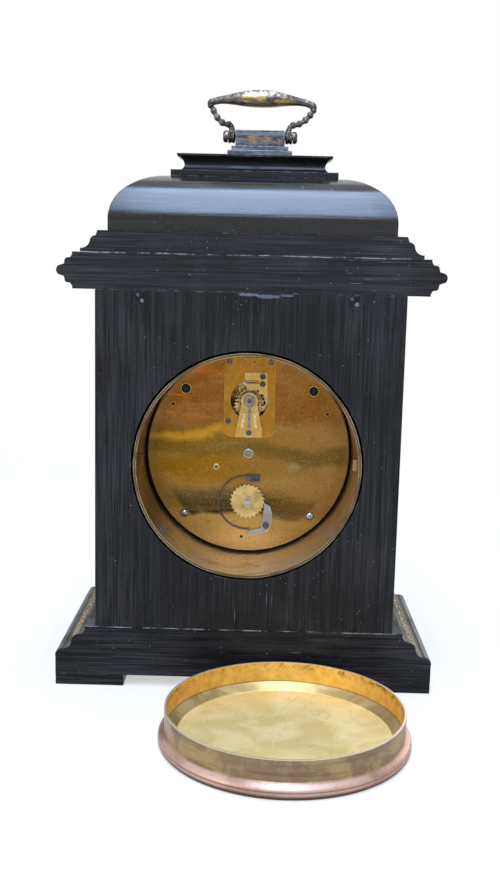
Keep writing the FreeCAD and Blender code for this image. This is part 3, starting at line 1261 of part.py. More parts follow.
def make_hinge(hinge_x, hinge_y):
    knuckles = new_body("case_knuckles", 0, 0, s.dial_height)
    inner = s.knuckle_half + s.knuckle_gap
    outer = inner + s.leaf_length
    side = hinge_x - s.knuckle_radius - s.knuckle_gap
    leaf_back = front - s.leaf_thick
    pad(knuckles, "XY_Plane", -outer, outer * 2, rectangle(side - s.leaf_width + s.knuckle_gap * 3,
                                                         leaf_back, side, front))
    for start in (inner, -outer):
        pad(knuckles, "XY_Plane", start, s.leaf_length, circle(hinge_x, hinge_y, s.knuckle_radius))
        pad(knuckles, "XY_Plane", start, s.leaf_length,
            rectangle(side - s.knuckle_gap, leaf_back, hinge_x, front))
        pocket(knuckles, "XY_Plane", start, s.leaf_length, circle(hinge_x, hinge_y, s.hinge_pin_radius))
    pin = new_body("hinge_pin", 0, 0, s.dial_height)
    pad(pin, "XY_Plane", -outer - s.knuckle_gap, (outer + s.knuckle_gap) * 2,
        circle(hinge_x, hinge_y, s.hinge_pin_radius))


def check_and_export():
    doc.recompute()
    for item in doc.Objects:
        if "Invalid" in item.State or "Error" in item.State:
            raise RuntimeError("not solved: " + item.Label)
        if hasattr(item, "Shape") and (item.Shape.isNull() or not item.Shape.isValid()):
            raise RuntimeError("no sound shape: " + item.Label)
    os.makedirs("parts", exist_ok=True)
    for item in pieces:
        item.Shape.exportStep("parts/" + item.Label + ".step")


make_boards()
make_feet()
make_mouldings()
make_handle_plinth()
make_handle_pin()
make_handle()
make_drum()
make_cap()
make_plates()
make_pillars()
make_winding()
make_click()
make_train()
make_platform()
make_bridge()
make_cock()
make_balance()
make_lever()
make_motion()
make_dial()
make_bezel()
check_and_export()
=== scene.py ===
"""Bracket clock seen from behind: materials, fine detail, light and camera."""
import math

import bmesh
import bpy
from mathutils import Matrix, Vector


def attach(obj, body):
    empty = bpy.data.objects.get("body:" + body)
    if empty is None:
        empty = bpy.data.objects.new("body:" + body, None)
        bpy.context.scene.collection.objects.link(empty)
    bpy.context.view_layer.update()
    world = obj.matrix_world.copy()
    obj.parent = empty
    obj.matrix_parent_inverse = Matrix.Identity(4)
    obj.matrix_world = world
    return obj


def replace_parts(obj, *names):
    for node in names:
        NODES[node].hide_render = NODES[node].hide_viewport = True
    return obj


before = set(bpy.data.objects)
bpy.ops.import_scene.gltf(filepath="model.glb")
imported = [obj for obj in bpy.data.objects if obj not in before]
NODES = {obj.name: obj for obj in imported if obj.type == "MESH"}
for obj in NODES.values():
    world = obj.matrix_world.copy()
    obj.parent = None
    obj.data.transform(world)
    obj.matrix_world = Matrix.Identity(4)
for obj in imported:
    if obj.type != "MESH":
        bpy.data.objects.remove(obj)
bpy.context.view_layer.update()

MM = 0.001


# ---- materials

class Finish:
    """One material and the few node helpers that it is put together with."""

    def __init__(self, name):
        self.material = bpy.data.materials.new(name)
        self.material.use_nodes = True
        self.tree = self.material.node_tree
        self.tree.nodes.clear()
        self.shader = self.node("ShaderNodeBsdfPrincipled", {})
        self.output = self.node("ShaderNodeOutputMaterial", {"Surface": self.shader.outputs[0]})
        self.place = self.node("ShaderNodeTexCoord", {}).outputs["Object"]
        self.base = None

    def put(self, socket, value):
        if isinstance(value, bpy.types.NodeSocket):
            self.tree.links.new(value, socket)
        elif isinstance(value, tuple) and len(value) == 3 and socket.type == "RGBA":
            socket.default_value = (*value, 1.0)
        else:
            socket.default_value = value

    def node(self, kind, inputs, **settings):
        made = self.tree.nodes.new(kind)
        for key, value in settings.items():
            setattr(made, key, value)
        for key, value in inputs.items():
            self.put(made.inputs[key], value)
        return made

    def stretched(self, scale, turn=(0, 0, 0), shift=(0, 0, 0)):
        return self.node("ShaderNodeMapping", {
            "Vector": self.place, "Scale": scale, "Rotation": turn, "Location": shift}).outputs[0]

    def noise(self, vector, scale=1.0, detail=3.0, rough=0.55, bend=0.0):
        return self.node("ShaderNodeTexNoise", {
            "Vector": vector, "Scale": scale, "Detail": detail, "Roughness": rough,
            "Distortion": bend}).outputs["Fac"]

    def moved(self, *shift):
        return self.stretched((1, 1, 1), shift=shift)

    def cells(self, vector, scale=1.0, kind="F1"):
        return self.node("ShaderNodeTexVoronoi", {"Vector": vector, "Scale": scale},
                         feature=kind).outputs["Distance"]

    def sum(self, kind, a, b=0.0, clamp=False):
        return self.node("ShaderNodeMath", {0: a, 1: b}, operation=kind, use_clamp=clamp).outputs[0]

    def times(self, a, b):
        return self.sum("MULTIPLY", a, b)

    def plus(self, a, b, clamp=False):
        return self.sum("ADD", a, b, clamp)

    def less(self, a, b):
        return self.sum("SUBTRACT", a, b)

    def gap(self, a, b):
        return self.sum("ABSOLUTE", self.less(a, b))

    def between(self, value, low, high, to_low=0.0, to_high=1.0):
        """A smooth step from to_low, where value is low, to to_high, where it is high."""
        return self.node("ShaderNodeMapRange", {
            "Value": value, "From Min": low, "From Max": high, "To Min": to_low, "To Max": to_high},
            clamp=True, interpolation_type="SMOOTHSTEP").outputs[0]

    def fall(self, value, low, high):
        return self.between(value, low, high, 1.0, 0.0)

    def blots(self, low, high, *noise):
        """Patches of 1 on 0, where the noise passes from low to high."""
        return self.between(self.noise(*noise), low, high)

    def mix(self, amount, a, b):
        return self.node("ShaderNodeMix", {0: amount, 6: a, 7: b}, data_type="RGBA").outputs[2]

    def over(self, amount, colour, part=None):
        """Lay a colour over the base colour, where amount is 1, at a strength of part."""
        self.base = self.mix(amount if part is None else self.times(amount, part), self.base, colour)

    def axes(self):
        parts = self.node("ShaderNodeSeparateXYZ", {0: self.place}).outputs
        return parts[0], parts[1], parts[2]

    def away(self, point, flatten=(1, 1, 1)):
        """Distance from a point, each axis times its number in flatten."""
        way = self.node("ShaderNodeVectorMath", {0: self.place, 1: point}, operation="SUBTRACT").outputs[0]
        way = self.node("ShaderNodeVectorMath", {0: way, 1: flatten}, operation="MULTIPLY").outputs[0]
        return self.node("ShaderNodeVectorMath", {0: way}, operation="LENGTH").outputs["Value"]

    def edges(self, radius, low=0.004, high=0.06):
        """1 on the corners of the mesh and 0 on its flats."""
        rounded = self.node("ShaderNodeBevel", {"Radius": radius}, samples=4).outputs[0]
        normal = self.node("ShaderNodeNewGeometry", {}).outputs["Normal"]
        dot = self.node("ShaderNodeVectorMath", {0: rounded, 1: normal},
                        operation="DOT_PRODUCT").outputs["Value"]
        return self.between(self.less(1.0, dot), low, high)

    def bump(self, height, depth, strength, normal=None):
        inputs = {"Height": height, "Distance": depth, "Strength": strength}
        if normal is not None:
            inputs["Normal"] = normal
        return self.node("ShaderNodeBump", inputs).outputs[0]

    def finish(self, **values):
        self.put(self.shader.inputs["Base Color"], self.base)
        for key, value in values.items():
            self.put(self.shader.inputs[key.replace("_", " ")], value)
        return self.material


def wood(name, along, level, gloss=0.42, marks=(), joints=(), rub=0.5, tone=1.0, shine=False, band=None):
    """Ebonised wood. along is the axis of the grain, joints are (height, strength) of worn joint lines,
    marks are dents, filled nails and painted highlights on the nails, band is (low, high, back) of the gilding
    worn back to brown."""
    f = Finish(name)

    def grain(across, with_grain, shift=(0, 0, 0)):
        return f.stretched(tuple(with_grain if axis == along else across for axis in "xyz"), shift=shift)

    fine = f.noise(grain(1400.0, 28.0), 1.0, 5.0, 0.62)
    broad = f.noise(grain(420.0, 9.0, (3.1, 1.7, 0.4)), 1.0, 3.0, 0.5)
    cloud = f.noise(f.place, 26.0, 4.0, 0.6, 0.4)
    dull = f.blots(0.50, 0.64, f.moved(0.6, 0.2, 0.9), 48.0, 3.0, 0.5)
    dark = tuple(c * tone for c in (0.0020, 0.0021, 0.0028))
    light = tuple(c * tone for c in (0.0235, 0.0220, 0.0225))
    f.base = f.mix(f.between(fine, 0.38, 0.66), dark, light)
    f.over(f.between(cloud, 0.38, 0.66, 0.0, 0.75), (0.0030, 0.0029, 0.0032))
    f.over(f.between(broad, 0.54, 0.70), (0.024, 0.025, 0.028), 0.22)
    crumbs = f.blots(0.56, 0.74, f.place, 1500.0, 2.0, 0.6)
    f.over(crumbs, (0.055, 0.055, 0.058), 0.30)
    f.over(f.blots(0.60, 0.78, f.moved(5.0, 2.0, 1.0), 33.0, 5.0, 0.65),
           (0.046, 0.034, 0.022), 0.08 if shine else 0.30)
    # thin pale scratches, two directions
    thin = f.noise(f.stretched((90.0, 90.0, 2600.0), turn=(0.0, 0.35, 0.2)), 1.0, 2.0, 0.5)
    lines = f.times(f.between(thin, 0.735, 0.775), f.blots(0.60, 0.68, f.place, 55.0, 2.0))
    tall = f.noise(grain(2100.0, 60.0, (9.0, 4.0, 2.0)), 1.0, 2.0, 0.4)
    strokes = f.times(f.between(tall, 0.72, 0.77), f.blots(0.58, 0.66, f.moved(2.0, 7.0, 3.0), 42.0, 2.0))
    specks = f.times(f.fall(f.cells(f.place, 420.0), 0.06, 0.13), f.blots(0.56, 0.64, f.place, 160.0, 1.0))
    worn = f.times(f.edges(0.0006), f.blots(0.50, 0.66, f.place, 210.0, 4.0, 0.7))
    pale = f.sum("MAXIMUM", f.sum("MAXIMUM", lines, strokes), specks)
    f.over(pale, (0.24, 0.25, 0.27), 0.55)
    f.over(worn, (0.20, 0.185, 0.165), rub)
    _, y, z = f.axes()
    normal = f.node("ShaderNodeNewGeometry", {}).outputs["Normal"]
    facing = f.node("ShaderNodeSeparateXYZ", {0: normal}).outputs[2]
    upright = f.fall(f.sum("ABSOLUTE", facing), 0.45, 0.75)
    for height, part in joints:
        wavy = f.plus(z, f.times(f.noise(f.place, 70.0, 2.0), 0.0008))
        line = f.fall(f.gap(wavy, height + 0.0004), 0.00008, 0.00032)
        broken = f.blots(0.42, 0.58, f.stretched((150.0, 150.0, 60.0)), 1.0, 4.0, 0.7)
        f.over(f.times(f.times(line, broken), upright), (0.34, 0.35, 0.37), part)
    # marks lay dark filled nails, pale rubbed spots, and pale painted highlights on the nails
    for point, radius, colour, amount, flat in marks:
        ragged = f.less(f.noise(f.place, 900.0, 4.0, 0.75), 0.5)
        jag = f.plus(f.away(point, flat), f.times(ragged, radius * 2.4))
        f.over(f.between(jag, radius * 0.75, radius, amount, 0.0), colour)
    if band:
        low, high, back = band
        gilt = f.times(f.between(z, low - 0.0002, low + 0.0002), f.fall(z, high - 0.0002, high + 0.0002))
        gilt = f.times(gilt, f.fall(y, back - 0.0003, back - 0.0001))
        worn_gilt = f.mix(f.between(cloud, 0.40, 0.60), (0.15, 0.095, 0.048), (0.27, 0.185, 0.100))
        worn_gilt = f.mix(f.between(crumbs, 0.1, 0.7, 0.0, 0.6), worn_gilt, (0.060, 0.036, 0.018))
        f.over(gilt, worn_gilt, 0.9)
    rough = f.between(fine, 0.3, 0.7, gloss - 0.05, gloss + 0.07)
    rough = f.plus(rough, f.times(dull, 0.05 if shine else 0.16))
    height = f.less(f.plus(fine, f.times(broad, 0.35)), f.times(pale, 0.5))
    normal = f.bump(height, 0.00016, 0.25 if shine else 0.6)
    normal = f.bump(f.noise(f.place, 38.0, 2.0), 0.0011, 0.10 if shine else 0.35, normal)
    return f.finish(Roughness=rough, Normal=normal, Specular_IOR_Level=level)


def metal(name, tones, rough=0.3, scale=60.0, stain=None, scratch=0.25, metallic=1.0, edge=None, cover=0.5):
    """Toned metal: tones are two or three colours, stain is a darker film, edge is the rubbed colour."""
    f = Finish(name)
    cloud = f.noise(f.place, scale, 5.0, 0.62, 0.6)
    small = f.noise(f.place, scale * 7.0, 4.0, 0.6)
    f.base = f.mix(f.between(cloud, 0.36, 0.64), tones[0], tones[1])
    if len(tones) > 2:
        f.over(f.blots(0.50, 0.66, f.moved(4.0, 2.0, 7.0), scale * 0.6, 3.0), tones[2])
    if stain is not None:
        film = f.blots(0.50, 0.66, f.moved(1.3, 8.0, 2.2), scale * 1.7, 6.0, 0.68, 0.8)
        f.over(film, stain, cover)
    hair = f.noise(f.stretched((90.0, 2600.0, 2600.0), turn=(0.3, 0.5, 0.4)), 1.0, 3.0, 0.5)
    hair2 = f.noise(f.stretched((2600.0, 2600.0, 120.0), turn=(0.2, 0.1, 0.9)), 1.0, 3.0, 0.5)
    lines = f.plus(f.between(hair, 0.64, 0.74), f.between(hair2, 0.66, 0.76), True)
    f.over(lines, (0.9, 0.84, 0.68), scratch * 0.4)
    if edge is not None:
        rubbed = f.times(f.edges(0.0004), f.blots(0.36, 0.60, f.place, 240.0, 3.0))
        f.over(rubbed, edge)
    roughness = f.plus(f.between(small, 0.3, 0.7, rough - 0.10, rough + 0.10), f.times(lines, 0.08))
    normal = f.bump(f.plus(small, f.times(lines, -0.5)), 0.00006, 0.25)
    return f.finish(Roughness=roughness, Normal=normal, Metallic=metallic)


def plate_metal(name, centre):
    """The lacquered movement plate: broad bands of painted reflection laid in as lacquer tones by height,
    stains, fine wiping lines.
    """
    f = Finish(name)
    x, _, z = f.axes()
    left = f.less(x, centre[0])
    soft = f.times(f.less(f.noise(f.place, 22.0, 3.0, 0.5), 0.5), 0.016)
    level = f.plus(f.less(z, centre[2]), soft)
    ripple = f.noise(f.stretched((60.0, 60.0, 170.0), shift=(2.0, 5.0, 1.0)), 1.0, 4.0, 0.62)
    level = f.plus(level, f.times(f.less(ripple, 0.5), 0.0055))
    level = f.plus(level, f.times(left, -0.05))
    ground = f.mix(f.between(left, -0.040, 0.030), (0.275, 0.145, 0.036), (0.250, 0.118, 0.006))
    rise = f.less(level, f.between(left, 0.000, 0.034, 0.0046, 0.0))
    # painted reflection: a lighter band at the bottom and a darker ground above it, in bands by height
    f.base = f.mix(f.between(level, -0.0430, -0.0350), (0.56, 0.335, 0.120), (0.40, 0.235, 0.064))
    f.over(f.between(level, -0.0330, -0.0270), ground)
    # painted reflection: darker brown on the upper half, with a painted highlight line beneath its left part
    f.over(f.between(rise, 0.0070, 0.0125), (0.220, 0.088, 0.014))
    f.over(f.between(level, 0.020, 0.036), (0.245, 0.085, 0.010))
    shine = f.times(f.between(rise, 0.0030, 0.0068), f.fall(rise, 0.0072, 0.0105))
    f.over(f.times(shine, f.between(left, 0.000, 0.016, 0.0, 0.70)), (0.52, 0.28, 0.028))
    # painted reflection: a dark olive band across the middle and a near-black patch on the lower part by the
    # ratchet
    band = f.times(f.between(level, -0.0045, -0.0005), f.fall(level, 0.0025, 0.0065))
    f.over(f.times(band, f.between(left, -0.040, 0.034, 0.80, 0.50)), (0.105, 0.068, 0.010))
    low = f.times(f.between(level, -0.0322, -0.0298), f.fall(level, -0.0225, -0.0160))
    low = f.times(low, f.fall(f.away(centre, (1, 0, 1)), 0.0385, 0.0408))
    low = f.times(low, f.between(left, -0.034, 0.016, 0.50, 1.0))
    f.over(low, (0.016, 0.012, 0.004))
    # orange streaks at the upper left of the back view
    warm = f.times(f.between(left, 0.008, 0.030), f.between(level, 0.012, 0.020))
    sloping = f.stretched((22.0, 22.0, 110.0), turn=(0.0, -0.50, 0.0))
    streak = f.blots(0.46, 0.62, sloping, 1.0, 4.0, 0.6, 0.5)
    f.over(f.times(warm, streak), (0.56, 0.120, 0.020), 0.90)
    sloping = f.stretched((14.0, 14.0, 60.0), turn=(0.0, 0.35, 0.0), shift=(0.3, 0.1, 0.7))
    smear = f.blots(0.46, 0.64, sloping, 1.0, 4.0, 0.6, 0.7)
    f.over(smear, (0.38, 0.235, 0.080), 0.28)
    pale_spot = (-0.0209, centre[1], centre[2] - 0.0066)
    f.over(f.between(f.away(pale_spot), 0.0018, 0.0034, 0.45, 0.0), (0.30, 0.24, 0.12))
    grit = f.noise(f.place, 1400.0, 3.0, 0.7)
    f.over(f.between(grit, 0.50, 0.72, 0.0, 0.34), (0.46, 0.30, 0.09))
    f.over(f.between(grit, 0.30, 0.50, 0.40, 0.0), (0.085, 0.050, 0.012))
    spots = f.blots(0.56, 0.70, f.place, 130.0, 6.0, 0.7, 0.6)
    f.over(spots, (0.10, 0.066, 0.022), 0.35)
    f.over(f.blots(0.62, 0.74, f.moved(2.0, 3.0, 8.0), 260.0, 4.0, 0.7), (0.50, 0.36, 0.15), 0.30)
    f.over(f.between(f.away(centre, (1, 0, 1)), 0.0420, 0.0458), (0.34, 0.22, 0.08), 0.30)
    wipe = f.noise(f.stretched((30.0, 30.0, 2400.0), turn=(0.0, 0.12, 0.0)), 1.0, 3.0, 0.6)
    f.over(f.between(wipe, 0.62, 0.74), (0.8, 0.65, 0.36), 0.10)
    rough = f.plus(f.between(f.noise(f.place, 90.0, 4.0), 0.35, 0.65, 0.26, 0.40), f.times(spots, 0.12))
    normal = f.bump(f.plus(f.noise(f.place, 300.0, 4.0, 0.6), f.times(wipe, 0.5)), 0.00005, 0.35)
    normal = f.bump(f.noise(f.place, 14.0, 1.0), 0.0006, 0.25, normal)
    return f.finish(Roughness=rough, Normal=normal, Metallic=1.0)


def tube_metal(name, centre):
    """Inside of the drum: reflecting and stained, with a painted highlight low down, painted shade towards the
    plate and on one side, and a painted glint on the edge of the mouth.
    """
    f = Finish(name)
    x, y, z = f.axes()
    cloud = f.noise(f.place, 45.0, 5.0, 0.62, 0.5)
    f.base = f.mix(f.between(cloud, 0.36, 0.64), (0.30, 0.185, 0.075), (0.42, 0.28, 0.14))
    # painted highlight: lighter below the middle of the drum
    f.over(f.fall(f.less(z, centre[2]), -0.045, 0.000), (0.66, 0.50, 0.34), 0.8)
    # painted shade: darker towards the plate, deep in the drum
    f.over(f.fall(y, 0.012, 0.046), (0.17, 0.10, 0.035), 0.35)
    # painted shade: darker on one side of the drum
    f.over(f.between(x, 0.030, 0.044), (0.085, 0.052, 0.015), 0.80)
    stain = f.blots(0.52, 0.66, f.stretched((60.0, 140.0, 60.0)), 1.0, 6.0, 0.7, 0.6)
    f.over(stain, (0.12, 0.085, 0.050), 0.5)
    ring = f.noise(f.stretched((12.0, 1900.0, 12.0)), 1.0, 3.0, 0.6)
    f.over(f.between(ring, 0.56, 0.72, 0.0, 0.25), (0.70, 0.56, 0.36))
    lip = f.between(y, 0.0467, 0.0471)
    f.over(lip, (0.115, 0.080, 0.045))
    # painted highlight: a glint along the edge of the mouth
    glint = f.times(f.edges(0.00035), f.blots(0.40, 0.56, f.place, 60.0, 3.0))
    f.over(f.times(lip, glint), (0.80, 0.66, 0.44))
    rough = f.plus(f.between(cloud, 0.35, 0.65, 0.26, 0.42), f.times(stain, 0.12))
    normal = f.bump(f.plus(f.noise(f.place, 320.0, 4.0), f.times(ring, 0.6)), 0.00006, 0.35)
    return f.finish(Roughness=rough, Normal=normal, Metallic=0.93)


def cap_metal(name, centre):
    """The loose cap: gold inside, smudged floor, olive brown wall, copper coloured bead darkened on its
    underside by painted shade.
    """
    f = Finish(name)
    z = f.axes()[2]
    out = f.away(centre, (1, 1, 0))
    cloud = f.noise(f.place, 42.0, 5.0, 0.62, 0.8)
    small = f.noise(f.place, 260.0, 5.0, 0.66)
    # floor
    floor = f.mix(f.between(cloud, 0.36, 0.66), (0.72, 0.49, 0.17), (0.82, 0.60, 0.27))
    swirl = f.node("ShaderNodeTexWave", {
        "Vector": f.node("ShaderNodeVectorMath", {0: f.place, 1: centre}, operation="SUBTRACT").outputs[0],
        "Scale": 46.0, "Distortion": 7.0, "Detail": 4.0, "Detail Scale": 2.2},
        wave_type="RINGS", rings_direction="Z").outputs["Fac"]
    floor = f.mix(f.between(swirl, 0.45, 0.95, 0.0, 0.16), floor, (0.72, 0.54, 0.20))
    smudge = f.blots(0.54, 0.70, f.moved(7.0, 3.0, 2.0), 70.0, 6.0, 0.7, 1.0)
    floor = f.mix(f.times(smudge, 0.34), floor, (0.60, 0.43, 0.14))
    specks = f.blots(0.54, 0.70, f.place, 900.0, 3.0, 0.7)
    floor = f.mix(f.times(specks, 0.30), floor, (0.58, 0.42, 0.16))
    trace = f.gap(f.noise(f.moved(5.0, 1.0, 3.0), 36.0, 3.0, 0.5, 1.5), 0.5)
    floor = f.mix(f.between(trace, 0.004, 0.012, 0.30, 0.0), floor, (0.50, 0.35, 0.12))
    chalk = f.blots(0.58, 0.72, f.moved(1.0, 9.0, 4.0), 95.0, 6.0, 0.72, 0.7)
    floor = f.mix(f.times(chalk, 0.55), floor, (0.84, 0.66, 0.38))
    # inner wall, bright gold with dark pitting near the lip
    inner = f.mix(f.between(small, 0.35, 0.65), (0.66, 0.38, 0.085), (0.80, 0.50, 0.13))
    pitted = f.times(f.blots(0.48, 0.60, f.place, 190.0, 6.0, 0.75, 0.8), f.between(z, 0.0105, 0.0135))
    inner = f.mix(f.times(pitted, 0.85), inner, (0.13, 0.075, 0.022))
    slope = f.times(f.between(z, 0.0031, 0.0034), f.fall(z, 0.0056, 0.0060))
    inner = f.mix(slope, inner, f.mix(f.between(cloud, 0.38, 0.62), (0.48, 0.33, 0.12), (0.64, 0.47, 0.215)))
    seam = f.between(f.gap(z, 0.00585), 0.0001, 0.00035, 0.7, 0.0)
    inner = f.mix(seam, inner, (0.22, 0.13, 0.04))
    corner = f.between(z, 0.00305, 0.0033)
    inside = f.mix(corner, floor, inner)
    # outer wall and bead
    patch = f.blots(0.46, 0.60, f.moved(3.0, 3.0, 9.0), 48.0, 4.0, 0.6, 0.9)
    outer = f.mix(f.times(patch, 0.75), (0.235, 0.145, 0.080), (0.40, 0.27, 0.115))
    outer = f.mix(f.between(small, 0.50, 0.68, 0.0, 0.5), outer, (0.34, 0.235, 0.14))
    rubs = f.noise(f.stretched((22.0, 22.0, 700.0)), 1.0, 4.0, 0.6)
    outer = f.mix(f.between(rubs, 0.56, 0.70, 0.0, 0.5), outer, (0.095, 0.055, 0.032))
    copper = f.mix(f.between(cloud, 0.38, 0.62), (0.36, 0.215, 0.16), (0.50, 0.33, 0.26))
    copper = f.mix(f.between(small, 0.56, 0.70, 0.0, 0.5), copper, (0.26, 0.135, 0.085))
    groove = f.fall(f.gap(z, 0.0030), 0.0001, 0.0004)
    copper = f.mix(f.times(groove, 0.7), copper, (0.13, 0.070, 0.045))
    # painted shade: the bead is darkened on its lowest part, towards the floor
    painted_shade_under = f.fall(z, 0.0010, 0.0024)
    copper = f.mix(f.times(painted_shade_under, 0.95), copper, (0.055, 0.026, 0.015))
    outside = f.mix(f.between(z, 0.0050, 0.0058), copper, outer)
    # the wall's inner face is nearer the axis than its outer face
    within = f.times(f.fall(out, 0.0468, 0.0470), f.between(z, 0.0024, 0.0028))
    f.base = f.mix(within, outside, inside)
    f.over(f.between(z, 0.0138, 0.0142), (0.78, 0.66, 0.48), 0.8)
    hair = f.stretched((900.0, 60.0, 900.0), turn=(0.0, 0.0, 0.7))
    f.over(f.blots(0.66, 0.74, hair, 1.0, 3.0), (0.95, 0.88, 0.66), 0.2)
    rough = f.plus(f.between(cloud, 0.35, 0.65, 0.34, 0.50), f.times(smudge, 0.10))
    normal = f.bump(small, 0.00010, 0.45)
    normal = f.bump(f.noise(f.place, 60.0, 3.0), 0.0005, 0.30, normal)
    dusty = f.times(within, f.less(1.0, corner))
    return f.finish(Roughness=rough, Normal=normal, Metallic=f.less(0.82, f.times(dusty, 0.50)))


def handle_metal(name, centre):
    """Dark bronze, rubbed to gold where the hand holds the grip, with a painted highlight along the grip's
    top.
    """
    f = Finish(name)
    x, _, z = f.axes()
    cloud = f.noise(f.place, 150.0, 5.0, 0.65, 0.6)
    small = f.noise(f.place, 700.0, 4.0, 0.65)
    f.base = f.mix(f.between(cloud, 0.36, 0.66), (0.050, 0.042, 0.035), (0.15, 0.125, 0.10))
    held = f.times(f.fall(f.gap(x, centre[0]), 0.009, 0.016), f.between(z, 0.2515, 0.2535))
    sloping = f.stretched((110.0, 380.0, 380.0), turn=(0.0, 0.25, 0.0))
    f.over(f.times(held, f.blots(0.45, 0.60, sloping, 1.0, 5.0, 0.66, 0.7)), (0.42, 0.30, 0.105))
    # painted highlight: pale colour along the top of the held part of the grip
    above = f.times(held, f.between(z, 0.2560, 0.2585))
    f.over(f.times(above, f.between(small, 0.46, 0.62, 0.0, 0.6)), (0.86, 0.80, 0.62))
    rubbed = f.times(f.edges(0.0004, 0.01, 0.10), f.between(small, 0.40, 0.60))
    f.over(rubbed, (0.50, 0.42, 0.30), 0.7)
    return f.finish(Roughness=f.between(small, 0.3, 0.7, 0.26, 0.46),
                    Normal=f.bump(f.plus(small, cloud), 0.00012, 0.5), Metallic=0.9)


def block_metal(name):
    """Handle block: dark bronze with a worn brown and golden back face."""
    f = Finish(name)
    x, _, z = f.axes()
    small = f.noise(f.place, 500.0, 5.0, 0.65)
    streak = f.blots(0.50, 0.62, f.stretched((140.0, 600.0, 700.0)), 1.0, 5.0, 0.66, 0.6)
    f.base = f.mix(f.between(small, 0.36, 0.66), (0.042, 0.042, 0.046), (0.100, 0.102, 0.112))
    f.over(f.blots(0.48, 0.64, f.stretched((60.0, 400.0, 900.0)), 1.0, 4.0, 0.6), (0.20, 0.21, 0.235), 0.6)
    worn = f.times(f.between(z, 0.2358, 0.2366), f.fall(z, 0.2400, 0.2412))
    worn = f.times(worn, f.between(f.gap(x, -0.002), 0.006, 0.0105, 1.0, 0.2))
    dark = f.between(f.noise(f.stretched((260.0, 900.0, 2400.0)), 1.0, 3.0, 0.6), 0.50, 0.60, 1.0, 0.35)
    f.over(f.times(f.times(worn, streak), dark), (0.27, 0.150, 0.070))
    rubbed = f.times(f.edges(0.0004), f.between(small, 0.40, 0.60))
    f.over(rubbed, (0.42, 0.40, 0.36), 0.6)
    return f.finish(Roughness=f.between(small, 0.3, 0.7, 0.30, 0.46),
                    Normal=f.bump(small, 0.00012, 0.5), Metallic=0.75)


def enamel(name):
    """Fired enamel: warm white with faint grey hairlines and a slight orange peel."""
    f = Finish(name)
    cloud = f.noise(f.place, 40.0, 4.0)
    f.base = f.mix(f.between(cloud, 0.35, 0.70), (0.76, 0.73, 0.65), (0.83, 0.81, 0.75))
    crack = f.fall(f.cells(f.place, 62.0, "DISTANCE_TO_EDGE"), 0.002, 0.010)
    crack = f.times(crack, f.blots(0.58, 0.66, f.place, 30.0, 2.0))
    f.over(crack, (0.30, 0.26, 0.20), 0.35)
    return f.finish(Roughness=f.between(cloud, 0.3, 0.7, 0.14, 0.24),
                    Normal=f.bump(f.noise(f.place, 220.0, 2.0), 0.00006, 0.3))


def ink(name):
    """Black fired numerals with a slightly uneven colour."""
    f = Finish(name)
    small = f.noise(f.place, 900.0, 3.0)
    f.base = f.mix(f.between(small, 0.35, 0.7), (0.010, 0.010, 0.012), (0.035, 0.034, 0.036))
    return f.finish(Roughness=f.between(small, 0.3, 0.7, 0.22, 0.34),
                    Normal=f.bump(small, 0.00003, 0.3))


def carved(name):
    """Carved and once gilded ornament, worn back to brown."""
    f = Finish(name)
    small = f.noise(f.place, 650.0, 5.0, 0.7)
    cloud = f.noise(f.place, 130.0, 4.0)
    f.base = f.mix(f.between(cloud, 0.38, 0.62), (0.12, 0.075, 0.034), (0.28, 0.175, 0.075))
    f.over(f.between(small, 0.55, 0.68), (0.46, 0.33, 0.16))
    return f.finish(Roughness=f.between(small, 0.3, 0.7, 0.42, 0.62),
                    Normal=f.bump(small, 0.0002, 0.6), Specular_IOR_Level=0.35)


def clear_glass(name):
    """Thin glass with a faint smear."""
    f = Finish(name)
    smear = f.noise(f.place, 30.0, 4.0)
    f.base = f.mix(f.between(smear, 0.4, 0.7), (0.965, 0.985, 0.975), (0.94, 0.97, 0.96))
    return f.finish(Roughness=f.between(smear, 0.45, 0.75, 0.0, 0.03),
                    Transmission_Weight=1.0, IOR=1.46)


def painted_hole_shade(name):
    """A near-black colour that stands for the shade inside a drilled hole: painted shade."""
    f = Finish(name)
    f.base = f.mix(f.noise(f.place, 900.0, 2.0), (0.004, 0.003, 0.003), (0.012, 0.009, 0.006))
    return f.finish(Roughness=0.6, Specular_IOR_Level=0.2)


MOVEMENT = (0.0, 0.01015, 0.0992)
BACK = 0.04725
WHOLE, FLAT = (1, 1, 1), (0.30, 1, 1.9)
NAILS_AND_HIGHLIGHTS = [((x, BACK, z), radius, colour, amount, form) for x, z, radius, colour, amount, form in (
    (0.046, 0.1698, 0.0024, (0.0025, 0.0025, 0.003), 0.95, WHOLE),
    (-0.0432, 0.1702, 0.0026, (0.0025, 0.0025, 0.003), 0.95, WHOLE),
    # the small pale bluish dots on the two nails are painted highlights
    (0.0452, 0.1688, 0.0009, (0.16, 0.17, 0.20), 0.7, WHOLE),
    (0.0470, 0.1712, 0.0007, (0.12, 0.13, 0.16), 0.6, WHOLE),
    (-0.0440, 0.1690, 0.0010, (0.15, 0.16, 0.19), 0.7, WHOLE),
    (-0.0420, 0.1714, 0.0007, (0.10, 0.11, 0.13), 0.6, WHOLE),
    (0.0010, 0.1722, 0.0013, (0.17, 0.18, 0.22), 0.55, FLAT),
    (-0.0070, 0.1716, 0.0016, (0.15, 0.17, 0.22), 0.50, FLAT),
    (-0.0150, 0.1722, 0.0010, (0.15, 0.16, 0.20), 0.45, FLAT))]

